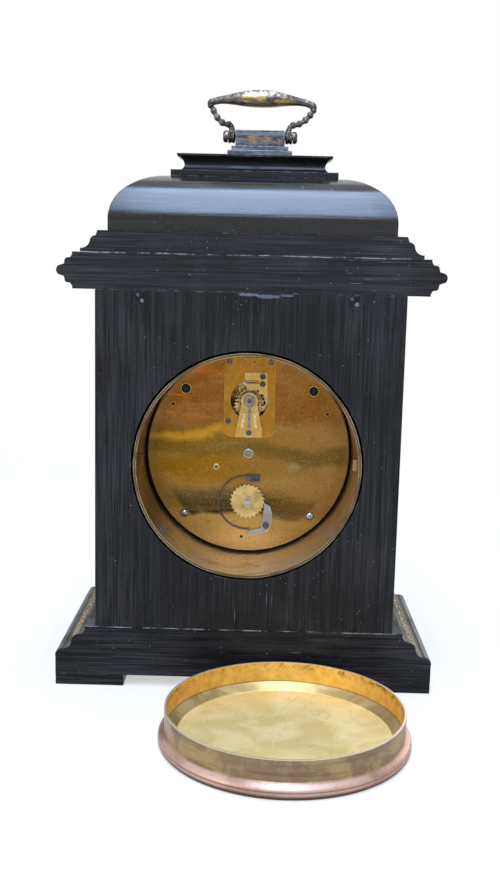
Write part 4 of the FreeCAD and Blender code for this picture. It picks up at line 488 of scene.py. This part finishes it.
M = {
    "wood_tall": wood("wood_tall", "z", marks=NAILS_AND_HIGHLIGHTS, level=0.17),
    "wood_side": wood("wood_side", "z", level=0.17),
    "wood_long": wood("wood_long", "x", joints=((0.1883, 0.55),), level=0.20, tone=1.2),
    "wood_plinth": wood("wood_plinth", "x", joints=((0.0269, 0.7),), gloss=0.30, level=0.13, tone=1.3,
                        band=(0.0191, 0.0233, BACK)),
    "wood_dome": wood("wood_dome", "x", gloss=0.17, level=0.46, tone=0.10, shine=True),
    "wood_crest": wood("wood_crest", "x", gloss=0.26, level=0.24, rub=0.9, tone=0.4),
    "plate": plate_metal("plate_brass", MOVEMENT),
    "tube": tube_metal("tube_brass", MOVEMENT),
    "cap": cap_metal("cap_brass", (-0.0176, 0.09795, 0.0)),
    "handle": handle_metal("handle_bronze", (-0.002, 0.0093, 0.2399)),
    "block": block_metal("block_bronze"),
    "brass": metal("brass", [(0.36, 0.22, 0.065), (0.50, 0.33, 0.11), (0.28, 0.17, 0.05)], 0.30,
                   stain=(0.12, 0.08, 0.03), edge=(0.72, 0.56, 0.28)),
    "wheel": metal("wheel_brass", [(0.50, 0.35, 0.13), (0.64, 0.46, 0.19), (0.42, 0.29, 0.10)], 0.26,
                   scale=140.0, stain=(0.22, 0.15, 0.05), edge=(0.86, 0.74, 0.44)),
    "gilt": metal("gilt_brass", [(0.32, 0.148, 0.018), (0.40, 0.190, 0.028), (0.36, 0.168, 0.022)], 0.34,
                  scale=110.0, stain=(0.20, 0.12, 0.035), cover=0.35, scratch=0.12, edge=(0.62, 0.43, 0.16)),
    "cock": metal("cock_gilt", [(0.47, 0.285, 0.075), (0.56, 0.36, 0.11), (0.50, 0.31, 0.09)], 0.32,
                  scale=150.0, stain=(0.26, 0.16, 0.05), cover=0.3, scratch=0.12, edge=(0.78, 0.58, 0.27)),
    "bezel": metal("bezel_brass", [(0.50, 0.35, 0.13), (0.62, 0.45, 0.18), (0.42, 0.28, 0.09)], 0.24,
                   scale=40.0, stain=(0.20, 0.13, 0.05), edge=(0.80, 0.64, 0.34)),
    "steel": metal("steel", [(0.34, 0.34, 0.35), (0.44, 0.44, 0.45), (0.30, 0.29, 0.29)], 0.28, scale=180.0,
                   stain=(0.20, 0.18, 0.16), cover=0.25, scratch=0.2),
    "click": metal("click_steel", [(0.27, 0.26, 0.23), (0.33, 0.32, 0.29)], 0.36, scale=90.0,
                   stain=(0.17, 0.15, 0.12), cover=0.3, scratch=0.1, edge=(0.55, 0.53, 0.48)),
    "index": metal("index_steel", [(0.19, 0.165, 0.135), (0.27, 0.24, 0.20)], 0.30, scale=500.0,
                   stain=(0.07, 0.05, 0.04), cover=0.6, scratch=0.1, edge=(0.52, 0.48, 0.42)),
    "dark_steel": metal("dark_steel", [(0.060, 0.060, 0.066), (0.12, 0.12, 0.125), (0.05, 0.045, 0.04)], 0.30,
                        scale=200.0, stain=(0.035, 0.025, 0.02), cover=0.6, scratch=0.1),
    "blue": metal("blued_steel", [(0.045, 0.060, 0.125), (0.075, 0.10, 0.20), (0.05, 0.05, 0.09)], 0.20,
                  scale=220.0, stain=(0.04, 0.03, 0.04), scratch=0.1),
    "screw_blue": metal("screw_blue", [(0.20, 0.24, 0.30), (0.34, 0.38, 0.44), (0.10, 0.12, 0.17)], 0.22,
                        scale=400.0, stain=(0.05, 0.05, 0.06), scratch=0.1),
    "balance": metal("balance_bronze", [(0.30, 0.185, 0.07), (0.42, 0.28, 0.12), (0.18, 0.11, 0.045)], 0.3,
                     scale=300.0, stain=(0.09, 0.06, 0.03)),
    "rim_screw": metal("rim_screw", [(0.10, 0.060, 0.030), (0.20, 0.125, 0.06), (0.06, 0.035, 0.02)], 0.34,
                       scale=500.0, scratch=0.1),
    "jewel": metal("jewel_ruby", [(0.14, 0.020, 0.030), (0.22, 0.030, 0.045)], 0.12, scale=600.0, metallic=0.0,
                   scratch=0.0),
    "enamel": enamel("dial_enamel"),
    "ink": ink("dial_ink"),
    "carved": carved("carved_gilt"),
    "glass": clear_glass("clear_glass"),
    "hole": painted_hole_shade("painted_hole_shade"),
    "sunk": metal("painted_shade_screw_steel", [(0.020, 0.022, 0.026), (0.05, 0.052, 0.055)], 0.4, scale=400.0, scratch=0.0),
    "mark": metal("engraved_mark", [(0.42, 0.28, 0.10), (0.62, 0.45, 0.19)], 0.4, scale=300.0),
    "tick": metal("division_mark", [(0.92, 0.78, 0.42), (0.98, 0.88, 0.58)], 0.45, scale=300.0, metallic=0.6),
}

LOOK = {
    "wood_tall": ["back_board", "front_board"],
    "wood_side": ["left_side_panel", "right_side_panel"],
    "wood_long": ["lower_cornice", "upper_cornice"],
    "wood_plinth": ["base_plinth", "corner_feet"],
    "wood_dome": ["dome"],
    "wood_crest": ["crest_moulding"],
    "plate": ["back_plate"],
    "tube": ["drum_tube", "cap_stops"],
    "cap": ["rear_cap"],
    "handle": ["handle_bail", "handle_pin"],
    "block": ["handle_plinth"],
    "brass": ["movement_seat", "front_plate", "plate_pillars", "barrel", "barrel_cover", "potence"],
    "wheel": ["great_wheel", "centre_wheel", "third_wheel", "fourth_wheel", "ratchet_wheel", "cannon_pinion",
              "minute_wheel", "hour_wheel"],
    "gilt": ["platform_plate"],
    "cock": ["balance_cock", "escape_bridge"],
    "bezel": ["bezel", "case_knuckles", "hinge_pin"],
    "steel": ["centre_arbor", "third_arbor", "fourth_arbor", "winding_arbor", "mainspring", "escape_wheel",
              "balance_staff", "escape_arbor", "pallet_lever"],
    "click": ["click"],
    "index": ["regulator_index", "end_ring"],
    "dark_steel": ["click_spring", "platform_screws", "click_screw"],
    "blue": ["hairspring", "hour_hand", "minute_hand"],
    "screw_blue": ["plate_screws"],
    "balance": ["balance_wheel"],
    "enamel": ["dial"],
    "glass": ["glass"],
}
for key, names in LOOK.items():
    for name in names:
        for slot in NODES[name].material_slots:
            slot.material = M[key]
assert sorted(n for names in LOOK.values() for n in names) == sorted(NODES)


# ---- mesh helpers

def piece(name, verts, faces, look, body, slot, smooth=True, angle=40.0):
    """A new mesh on a body, with its edges sharp above an angle in degrees."""
    mesh = bpy.data.meshes.new(name)
    mesh.from_pydata([tuple(v) for v in verts], [], faces)
    mesh.validate()
    work = bmesh.new()
    work.from_mesh(mesh)
    bmesh.ops.remove_doubles(work, verts=work.verts, dist=1e-7)
    bmesh.ops.recalc_face_normals(work, faces=work.faces)
    for face in work.faces:
        face.smooth = smooth
    for edge in work.edges:
        if len(edge.link_faces) == 2 and edge.calc_face_angle(0.0) > math.radians(angle):
            edge.smooth = False
    work.to_mesh(mesh)
    work.free()
    made = bpy.data.objects.new(name, mesh)
    bpy.context.scene.collection.objects.link(made)
    mesh.materials.append(M[look])
    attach(made, body)
    return made


def basis(direction):
    direction = Vector(direction).normalized()
    side = direction.orthogonal().normalized()
    return side, direction.cross(side), direction


class Heap:
    """Vertices and faces, in millimetres, of one piece made of several closed forms."""

    def __init__(self):
        self.verts, self.faces = [], []

    def add(self, verts, faces):
        start = len(self.verts)
        self.verts += [Vector(v) for v in verts]
        self.faces += [[i + start for i in face] for face in faces]

    def lathe(self, centre, axis, rings, sides=32):
        """rings are (distance along the axis, radius); radius 0 closes the end."""
        side, up, along = basis(axis)
        centre = Vector(centre)
        verts, faces, rows = [], [], []
        for far, radius in rings:
            if radius <= 0:
                rows.append([len(verts)])
                verts.append(centre + along * far)
            else:
                rows.append(list(range(len(verts), len(verts) + sides)))
                for i in range(sides):
                    turn = 2 * math.pi * i / sides
                    verts.append(centre + along * far + (side * math.cos(turn) + up * math.sin(turn)) * radius)
        for a, b in zip(rows, rows[1:]):
            for i in range(sides):
                j = (i + 1) % sides
                if len(a) == 1:
                    faces.append([a[0], b[i], b[j]])
                elif len(b) == 1:
                    faces.append([a[i], b[0], a[j]])
                else:
                    faces.append([a[i], b[i], b[j], a[j]])
        self.add(verts, faces)

    def sweep(self, points, radii, sides=16):
        """A closed tube along points with a radius at each."""
        points = [Vector(p) for p in points]
        count = len(points)
        ahead = [(points[min(i + 1, count - 1)] - points[max(i - 1, 0)]).normalized() for i in range(count)]
        side = ahead[0].orthogonal().normalized()
        verts, faces = [], []
        for i, (point, way, radius) in enumerate(zip(points, ahead, radii)):
            side = (side - way * side.dot(way)).normalized()
            up = way.cross(side)
            for k in range(sides):
                turn = 2 * math.pi * k / sides
                verts.append(point + (side * math.cos(turn) + up * math.sin(turn)) * radius)
        for i in range(count - 1):
            for k in range(sides):
                m = (k + 1) % sides
                faces.append([i * sides + k, (i + 1) * sides + k, (i + 1) * sides + m, i * sides + m])
        first, last = len(verts), len(verts) + 1
        verts += [points[0], points[-1]]
        for k in range(sides):
            m = (k + 1) % sides
            faces.append([first, k, m])
            faces.append([last, (count - 1) * sides + m, (count - 1) * sides + k])
        self.add(verts, faces)

    def slab(self, outline, low, high):
        """A flat form: outline is (x, z) points, from y low to y high."""
        count = len(outline)
        verts = [Vector((x, low, z)) for x, z in outline] + [Vector((x, high, z)) for x, z in outline]
        faces = [list(range(count)), list(range(2 * count - 1, count - 1, -1))]
        for i in range(count):
            j = (i + 1) % count
            faces.append([i, j, j + count, i + count])
        self.add(verts, faces)

    def make(self, name, look, body, slot, **settings):
        return piece(name, [v * MM for v in self.verts], self.faces, look, body, slot, **settings)


def curve(points, steps):
    """Catmull-Rom points through the given ones, whatever their length."""
    out = []
    for i in range(len(points) - 1):
        p0 = points[max(i - 1, 0)]
        p1, p2 = points[i], points[i + 1]
        p3 = points[min(i + 2, len(points) - 1)]
        for k in range(steps):
            t = k / steps
            out.append(tuple(0.5 * (2 * b + (c - a) * t + (2 * a - 5 * b + 4 * c - d) * t * t
                                    + (3 * b - a - 3 * c + d) * t ** 3)
                             for a, b, c, d in zip(p0, p1, p2, p3)))
    out.append(tuple(points[-1]))
    return out


# ---- softened edges on the case

def smoothing():
    """Nodes that shade smooth below an angle, in place of the normals that came with the mesh."""
    group = bpy.data.node_groups.new("smooth_by_angle", "GeometryNodeTree")
    group.interface.new_socket("Geometry", in_out="INPUT", socket_type="NodeSocketGeometry")
    group.interface.new_socket("Geometry", in_out="OUTPUT", socket_type="NodeSocketGeometry")
    start, end = group.nodes.new("NodeGroupInput"), group.nodes.new("NodeGroupOutput")
    drop = group.nodes.new("GeometryNodeRemoveAttribute")
    drop.inputs["Name"].default_value = "custom_normal"
    faces = group.nodes.new("GeometryNodeSetShadeSmooth")
    edges = group.nodes.new("GeometryNodeSetShadeSmooth")
    edges.domain = "EDGE"
    edges.inputs["Shade Smooth"].default_value = False
    angle = group.nodes.new("GeometryNodeInputMeshEdgeAngle")
    over = group.nodes.new("FunctionNodeCompare")
    over.operation = "GREATER_THAN"
    over.inputs[1].default_value = math.radians(32)
    link = group.links.new
    link(start.outputs[0], drop.inputs["Geometry"])
    link(drop.outputs[0], faces.inputs["Geometry"])
    link(faces.outputs[0], edges.inputs["Geometry"])
    link(angle.outputs["Unsigned Angle"], over.inputs[0])
    link(over.outputs[0], edges.inputs["Selection"])
    link(edges.outputs[0], end.inputs[0])
    return group


SMOOTH = smoothing()


def soften(name, width):
    """Round the edges of a node of the case and shade its flats evenly."""
    made = NODES[name]
    weld = made.modifiers.new("weld", "WELD")
    weld.merge_threshold = 2e-6
    bevel = made.modifiers.new("bevel", "BEVEL")
    bevel.width = width
    bevel.segments = 2
    bevel.limit_method = "ANGLE"
    bevel.angle_limit = math.radians(38)
    bevel.use_clamp_overlap = True
    bevel.miter_outer = "MITER_ARC"
    smooth = made.modifiers.new("smooth", "NODES")
    smooth.node_group = SMOOTH
    even = made.modifiers.new("even", "WEIGHTED_NORMAL")
    even.keep_sharp = True
    even.weight = 80


for name in ("back_board", "front_board", "left_side_panel", "right_side_panel"):
    soften(name, 0.00035)
for name in ("base_plinth", "corner_feet", "lower_cornice", "upper_cornice", "dome"):
    soften(name, 0.00030)
for name in ("crest_moulding", "handle_plinth"):
    soften(name, 0.00022)


# ---- handle

def handle():
    """Eyes, knuckled arms and a swelling grip in one casting."""
    x0, y0, z0 = -2.0, 9.3, 239.9
    heap = Heap()
    for s in (-1, 1):
        heap.lathe((x0 + s * 12.55, y0, z0), (s, 0, 0), [
            (-1.55, 0), (-1.55, 1.9), (-1.45, 2.5), (-1.1, 2.85), (-0.5, 2.75), (0.0, 2.45), (0.5, 2.75),
            (1.1, 2.9), (1.45, 2.55), (1.55, 1.9), (1.55, 0)], 40)
        arm = [(12.5, 1.6), (12.5, 3.2), (13.2, 4.9), (15.6, 5.3), (17.9, 6.7), (19.6, 8.9), (20.9, 11.4),
               (21.9, 13.2), (21.4, 14.3), (19.6, 14.9)]
        if s < 0:
            arm = [(12.5, 1.6), (12.6, 3.2), (13.6, 5.0), (15.9, 5.5), (18.3, 6.6), (20.5, 8.4), (22.1, 10.3),
                   (23.0, 12.0), (22.5, 13.6), (20.0, 14.7)]
        line = curve(arm, 12)
        points, radii = [], []
        for i, (dx, dz) in enumerate(line):
            t = i / (len(line) - 1)
            knots = 0.5 + 0.5 * math.cos(2 * math.pi * (t - 0.26) / 0.125)
            radius = 1.22 + (0.55 * knots - 0.22 if 0.20 < t < 0.80 else 0.0)
            if t < 0.14:
                radius = 1.75 - 3.6 * t
            if t > 0.78:
                radius = 1.35 + 0.30 * math.sin(math.pi * min(1.0, (t - 0.78) / 0.15)) + 0.8 * (t - 0.78)
            points.append((x0 + s * dx, y0, z0 + dz))
            radii.append(radius)
        heap.sweep(points, radii, 20)
    grip = curve([(-20.0, 14.7), (-17.0, 15.2), (-11.0, 15.9), (-4.0, 16.2), (0.0, 16.2), (4.0, 16.2),
                  (11.0, 15.9), (17.0, 15.4), (19.6, 14.9)], 8)
    radii = [1.55 + 2.15 * (math.cos(math.pi * min(1.0, abs(dx) / 19.8) ** 1.15) * 0.5 + 0.5)
             for dx, dz in grip]
    heap.sweep([(x0 + dx, y0, z0 + dz) for dx, dz in grip], radii, 28)
    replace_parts(heap.make("handle_casting", "handle", "handle", "case_brass", angle=55), "handle_bail")


handle()


# ---- carved band on the plinth

def carved_band():
    """A running vine in low relief on the carved quarter round, along both sides and the front."""
    heap = Heap()
    low, run = 19.1, 7.7

    def on_band(along, across, proud, side):
        # across 0 is the top of the quarter round, 1 its foot; proud is the height above it
        turn = across * math.pi / 2
        out = run + 2.9 * math.sin(turn)
        up = low + 4.2 * math.cos(turn)
        normal = Vector((math.sin(turn) / 2.9, math.cos(turn) / 4.2)).normalized()
        out += normal.x * proud
        up += normal.y * proud
        if side == "front":
            return Vector((along, -(29.75 + out), up))
        return Vector(((1 if side == "plus" else -1) * (65.0 + out), along, up))

    def leaf(side, along, across, way, length, width):
        """A pointed leaf with a raised middle."""
        rows, verts, faces = 7, [], []
        for i in range(rows):
            t = i / (rows - 1)
            half = width * math.sin(math.pi * min(1.0, 0.12 + t * 0.88)) ** 0.8 * (1 - 0.25 * t)
            bend = 0.25 * way * math.sin(math.pi * t * 0.8)
            for k in (-1, -0.5, 0, 0.5, 1):
                proud = 0.50 * (1 - abs(k)) * math.sin(math.pi * min(1.0, 0.15 + t * 0.8)) - 0.06
                verts.append(on_band(along + length * t, across + bend + k * half, proud, side))
        for i in range(rows - 1):
            for k in range(4):
                a = i * 5 + k
                faces.append([a, a + 1, a + 6, a + 5])
        heap.add(verts, faces)

    for side, start, stop in (("plus", -37.0, 46.8), ("minus", -37.0, 46.8), ("front", -72.2, 72.2)):
        span = stop - start
        waves = max(2, round(span / 9.0))
        pitch = span / waves
        points = []
        steps = waves * 14
        for i in range(steps + 1):
            t = i / steps
            across = 0.5 + 0.24 * math.sin(2 * math.pi * waves * t)
            points.append(on_band(start + span * t, across, 0.12, side))
        heap.sweep(points, [0.36] * len(points), 6)
        for i in range(waves):
            along = start + pitch * (i + 0.25)
            leaf(side, along - pitch * 0.05, 0.46, 1, pitch * 0.44, 0.26)
            leaf(side, along - pitch * 0.10, 0.22, -1, pitch * 0.36, 0.17)
            leaf(side, along + pitch * 0.45, 0.54, -1, pitch * 0.44, 0.26)
            leaf(side, along + pitch * 0.40, 0.80, 1, pitch * 0.36, 0.17)
    heap.make("carved_vine", "carved", "case", "ebonised_wood", angle=60)


carved_band()


# ---- dial

AXIS = 99.2     # height of the middle of the dial and of the plates


def turned(turn, middle=0.0):
    """The way from a place on a mark, middle out from the axis, to the dial turned clockwise from the top."""
    sin, cos = math.sin(turn), math.cos(turn)
    return lambda x, z: (sin * middle + x * cos + z * sin, AXIS + cos * middle - x * sin + z * cos)


def stroke(heap, place, a, b, half_a, half_b, low, high):
    """A straight stroke from a to b, in the numeral's own plane."""
    ax, az = a
    bx, bz = b
    length = math.hypot(bx - ax, bz - az)
    nx, nz = -(bz - az) / length, (bx - ax) / length
    corners = [(ax + nx * half_a, az + nz * half_a), (bx + nx * half_b, bz + nz * half_b),
               (bx - nx * half_b, bz - nz * half_b), (ax - nx * half_a, az - nz * half_a)]
    heap.slab([place(x, z) for x, z in corners], low, high)


def dial_marks():
    """Roman numerals and a minute track. Strokes that cross lie at slightly different depths."""
    heap = Heap()
    low, high = -21.83, -21.74
    numerals = ["XII", "I", "II", "III", "IIII", "V", "VI", "VII", "VIII", "IX", "X", "XI"]
    half, thick, fine = 4.3, 0.62, 0.19
    advance = {"I": 2.3, "V": 5.0, "X": 4.9}
    for hour, text in enumerate(numerals):
        place = turned(math.radians(hour * 30), 32.6)
        total = sum(advance[c] for c in text)
        k = min(1.0, 11.6 / total)

        def bar(x0, z0, x1, z1, wide, narrow=None, deeper=0.0):
            end = wide if narrow is None else narrow
            stroke(heap, place, (x0, z0), (x1, z1), wide, end, low - deeper, high)

        pen = -total * k / 2
        for c in text:
            m = pen + advance[c] * k / 2
            if c == "I":
                bar(m, -half, m, half, thick * k)
                for z in (-half, half):
                    bar(m - 1.1 * k, z, m + 1.1 * k, z, fine, deeper=0.005)
            elif c == "V":
                bar(m - 1.75 * k, half, m + 0.1, -half, thick * k, thick * k * 0.8)
                bar(m + 1.75 * k, half, m + 0.1, -half, fine * 1.1, deeper=0.004)
                for x in (m - 1.75 * k, m + 1.75 * k):
                    bar(x - 0.95 * k, half, x + 0.95 * k, half, fine, deeper=0.008)
            else:
                bar(m - 1.7 * k, half, m + 1.7 * k, -half, thick * k)
                bar(m + 1.7 * k, half, m - 1.7 * k, -half, fine * 1.1, deeper=0.004)
                for z in (-half, half):
                    for x in (m - 1.7 * k, m + 1.7 * k):
                        bar(x - 0.9 * k, z, x + 0.9 * k, z, fine, deeper=0.008)
            pen += advance[c] * k
    for minute in range(60):
        half = 0.42 if minute % 5 == 0 else 0.14
        stroke(heap, turned(math.radians(minute * 6)), (0, 38.9), (0, 41.3), half, half, low, high)
    for inner, outer in ((38.7, 38.95), (41.25, 41.5)):
        sides = 180
        verts, faces = [], []
        for i in range(sides):
            turn = 2 * math.pi * i / sides
            for radius in (inner, outer):
                for y in (low - 0.006, high):
                    verts.append(Vector((math.sin(turn) * radius, y, AXIS + math.cos(turn) * radius)))
        for i in range(sides):
            a, b = i * 4, ((i + 1) % sides) * 4
            faces += [[a, b, b + 2, a + 2], [a + 1, a + 3, b + 3, b + 1], [a, a + 1, b + 1, b],
                      [a + 2, b + 2, b + 3, a + 3]]
        heap.add(verts, faces)
    heap.make("dial_figures", "ink", "case", "dial_enamel", smooth=False)


dial_marks()


# ---- movement details

PLATE, PLATFORM = 10.15, 11.35      # the outer faces of the back plate and of the platform
UPPER = ((-29.13, 29.13), (29.13, 29.13))
LOWER = ((-29.13, -29.13), (29.13, -29.13))
SMALL = ((-34.9, 22.0), (35.7, 18.8), (-2.5, -39.7))
RINGED = ((-14.7, -6.9),)
DOTS = ((-2.2, 42.1), (-0.15, 41.6), (1.9, 42.1))
BALANCE = 24.4      # height of the balance's axis above the middle


def rings(name, look, body, slot, *sets, **settings):
    """One piece of turned forms. A set is (places, y, profile, sides), its places (x, z) from the plate's
    middle as seen from behind, its profile (distance outwards, radius)."""
    heap = Heap()
    for places, y, profile, sides in sets:
        for x, z in places:
            heap.lathe((-x, y, AXIS + z), (0, 1, 0), profile, sides)
    return heap.make(name, look, body, slot, **settings)


# near-black discs of painted shade for the holes of the upper pillars and three small ones, each with a rubbed
# chamfer
rings("plate_holes", "hole", "case", "brass",
      (UPPER, PLATE, [(-0.2, 0), (-0.2, 2.15), (0.03, 2.15), (0.03, 0)], 40),
      (SMALL, PLATE, [(-0.2, 0), (-0.2, 0.75), (0.03, 0.75), (0.03, 0)], 24), angle=30)
rings("plate_bushes", "mark", "case", "brass",
      (UPPER, PLATE, [(-0.1, 2.1), (0.035, 2.12), (0.06, 2.2), (0.045, 2.36), (-0.1, 2.42), (-0.1, 2.1)], 48),
      (SMALL, PLATE, [(-0.1, 0.72), (0.035, 0.74), (0.05, 0.8), (0.03, 0.92), (-0.1, 0.95), (-0.1, 0.72)], 32),
      (RINGED, PLATE, [(-0.1, 0.8), (0.10, 0.82), (0.16, 0.95), (0.14, 1.35), (0.02, 1.5), (-0.1, 1.52),
                       (-0.1, 0.8)], 40))
rings("plate_pivot", "dark_steel", "case", "steel",
      (RINGED, PLATE, [(-0.1, 0), (-0.1, 0.78), (0.02, 0.78), (0.05, 0.45), (0.22, 0.42), (0.26, 0.3),
                       (0.27, 0)], 32))
rings("arbor_end", "index", "centre", "steel",
      (((0, 0),), PLATFORM, [(-0.3, 0), (-0.3, 1.9), (-0.02, 2.0), (0.02, 1.85), (0.16, 1.5), (0.20, 0.9),
                             (0.12, 0.45), (0.14, 0)], 36))
rings("platform_dots", "rim_screw", "case", "gilt_brass",
      (DOTS, PLATFORM, [(-0.1, 0), (-0.1, 0.42), (0.02, 0.42), (0.02, 0)], 16), angle=30)
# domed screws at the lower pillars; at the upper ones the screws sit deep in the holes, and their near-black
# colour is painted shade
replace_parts(rings("pillar_screws", "screw_blue", "case", "blued_steel",
                  (LOWER, PLATE, [(-0.8, 0), (-0.8, 1.0), (0.0, 1.0), (0.0, 1.80), (0.22, 1.85), (0.55, 1.62),
                                  (0.85, 1.10), (0.98, 0.55), (1.0, 0)], 40), angle=35), "plate_screws")
# painted shade: the upper screws are coloured near-black for the shade of their holes
rings("sunk_screws", "sunk", "case", "blued_steel",
      (UPPER, PLATE, [(-0.3, 0), (-0.3, 1.2), (0.04, 1.2), (0.07, 0.9), (0.08, 0)], 28), angle=35)


def balance_screws():
    """Timing screws round the upper half of the balance's rim."""
    heap = Heap()
    centre = Vector((0.0, 10.74, AXIS + BALANCE))
    profile = [(0.0, 0.0), (0.0, 0.46), (0.08, 0.54), (1.02, 0.56), (1.12, 0.46), (1.14, 0.0)]
    for i in range(11):
        turn = math.radians(-8 + i * 19.6)
        out = Vector((math.cos(turn), 0, math.sin(turn)))
        heap.lathe(centre + out * 4.75, out, profile, 14)
    heap.make("balance_screws", "rim_screw", "balance", "balance_brass", angle=35)


def cock_divisions():
    """Two rows of short strokes beside the regulator's index."""
    heap = Heap()
    for s in (-1, 1):
        for i in range(7):
            z = AXIS + BALANCE - 6.2 - i * 0.95
            x = s * (1.9 + 0.10 * i)
            end = x + s * 1.25
            heap.slab([(x, z - 0.15), (end, z - 0.30), (end, z), (x, z + 0.15)], 13.20, 13.275)
    heap.make("cock_divisions", "tick", "case", "gilt_brass", smooth=False)


balance_screws()
cock_divisions()
rings("end_stone", "jewel", "case", "steel",
      (((0, BALANCE),), 13.95, [(-0.3, 0.0), (-0.3, 0.95), (0.0, 0.95), (0.06, 0.8), (0.02, 0.4),
                                (0.0, 0.0)], 28))


# ---- floor, light and camera

def shown(tree, back, front, amount, output):
    """Send a blend of two shaders to an output, amount being how much of the front one shows."""
    blend = tree.nodes.new("ShaderNodeMixShader")
    for source, target in ((amount, blend.inputs[0]), (back.outputs[0], blend.inputs[1]),
                           (front.outputs[0], blend.inputs[2]), (blend.outputs[0], output.inputs["Surface"])):
        tree.links.new(source, target)


def seen_by_camera(tree):
    """1 for what the camera sees, also in a mirror or through glass, and 0 for what only gives light."""
    path = tree.nodes.new("ShaderNodeLightPath").outputs
    seen = path["Is Camera Ray"]
    for other in ("Is Glossy Ray", "Is Transmission Ray"):
        either = tree.nodes.new("ShaderNodeMath")
        either.operation = "MAXIMUM"
        tree.links.new(seen, either.inputs[0])
        tree.links.new(path[other], either.inputs[1])
        seen = either.outputs[0]
    return seen


def stage():
    """A pale floor that turns white away from the clock, and a white room that lights it softly."""
    floor = Finish("floor")
    grain = floor.noise(floor.place, 9.0, 3.0)
    floor.base = floor.mix(floor.between(grain, 0.3, 0.7), (0.84, 0.77, 0.68), (0.87, 0.80, 0.71))
    floor.finish(Roughness=0.9, Specular_IOR_Level=0.1)
    glow = floor.node("ShaderNodeEmission", {"Strength": 1.0})
    far = floor.between(floor.away((0.0, 0.0, 0.0)), 0.16, 0.75, 0.55, 1.0)
    shown(floor.tree, floor.shader, glow, floor.times(seen_by_camera(floor.tree), far), floor.output)
    bpy.ops.mesh.primitive_plane_add(size=24.0, location=(0, 0, -0.0002))
    plane = bpy.context.object
    plane.name = "floor"
    plane.data.materials.append(floor.material)

    world = bpy.data.worlds.new("studio")
    bpy.context.scene.world = world
    world.use_nodes = True
    tree = world.node_tree
    tree.nodes.clear()
    output = tree.nodes.new("ShaderNodeOutputWorld")
    lights = []
    for colour, strength in (((0.93, 0.96, 1.0, 1), 0.42), ((1, 1, 1, 1), 1.0)):
        lights.append(tree.nodes.new("ShaderNodeBackground"))
        lights[-1].inputs["Color"].default_value = colour
        lights[-1].inputs["Strength"].default_value = strength
    shown(tree, *lights, seen_by_camera(tree), output)


def lamp(name, place, target, size, power, colour):
    data = bpy.data.lights.new(name, "AREA")
    data.shape = "RECTANGLE"
    data.size, data.size_y = size
    data.energy = power
    data.color = colour
    made = bpy.data.objects.new(name, data)
    bpy.context.scene.collection.objects.link(made)
    place, target = Vector(place), Vector(target)
    made.location = place
    made.rotation_euler = (target - place).to_track_quat("-Z", "Y").to_euler()


def camera():
    """The camera as it was solved from the photograph, in degrees and metres."""
    data = bpy.data.cameras.new("camera")
    made = bpy.data.objects.new("camera", data)
    bpy.context.scene.collection.objects.link(made)
    yaw, pitch, roll = (math.radians(a) for a in (-0.54115, 9.42912, 1.32599))
    ahead = Vector((math.sin(yaw), -math.cos(yaw), 0))
    right = Vector((math.cos(yaw), math.sin(yaw), 0))
    up = Vector((0, 0, 1))
    ahead, up = ahead * math.cos(pitch) - up * math.sin(pitch), up * math.cos(pitch) + ahead * math.sin(pitch)
    right, up = right * math.cos(roll) + up * math.sin(roll), up * math.cos(roll) - right * math.sin(roll)
    right.x, up.x, ahead.x = -right.x, -up.x, -ahead.x
    turn = Matrix((right, up, -ahead)).transposed().to_4x4()
    made.matrix_world = Matrix.Translation((-0.005227, 0.496411, 0.183852)) @ turn
    data.sensor_fit = "VERTICAL"
    data.sensor_height = 36.0
    data.lens = 43.439
    data.clip_start = 0.01
    bpy.context.scene.camera = made


stage()
lamp("sky_panel", (0.0, 0.47, 1.11), (0.0, 0.05, 0.21), (0.42, 1.66), 31.0, (0.50, 0.68, 1.0))
lamp("side_fill", (1.1, 0.9, 0.55), (0.0, 0.05, 0.12), (0.9, 0.9), 7.0, (1.0, 0.97, 0.92))
lamp("front_fill", (-0.9, -1.2, 0.7), (0.0, 0.0, 0.12), (1.0, 1.0), 9.0, (1.0, 0.98, 0.96))
camera()
bpy.context.scene.view_settings.view_transform = "Standard"
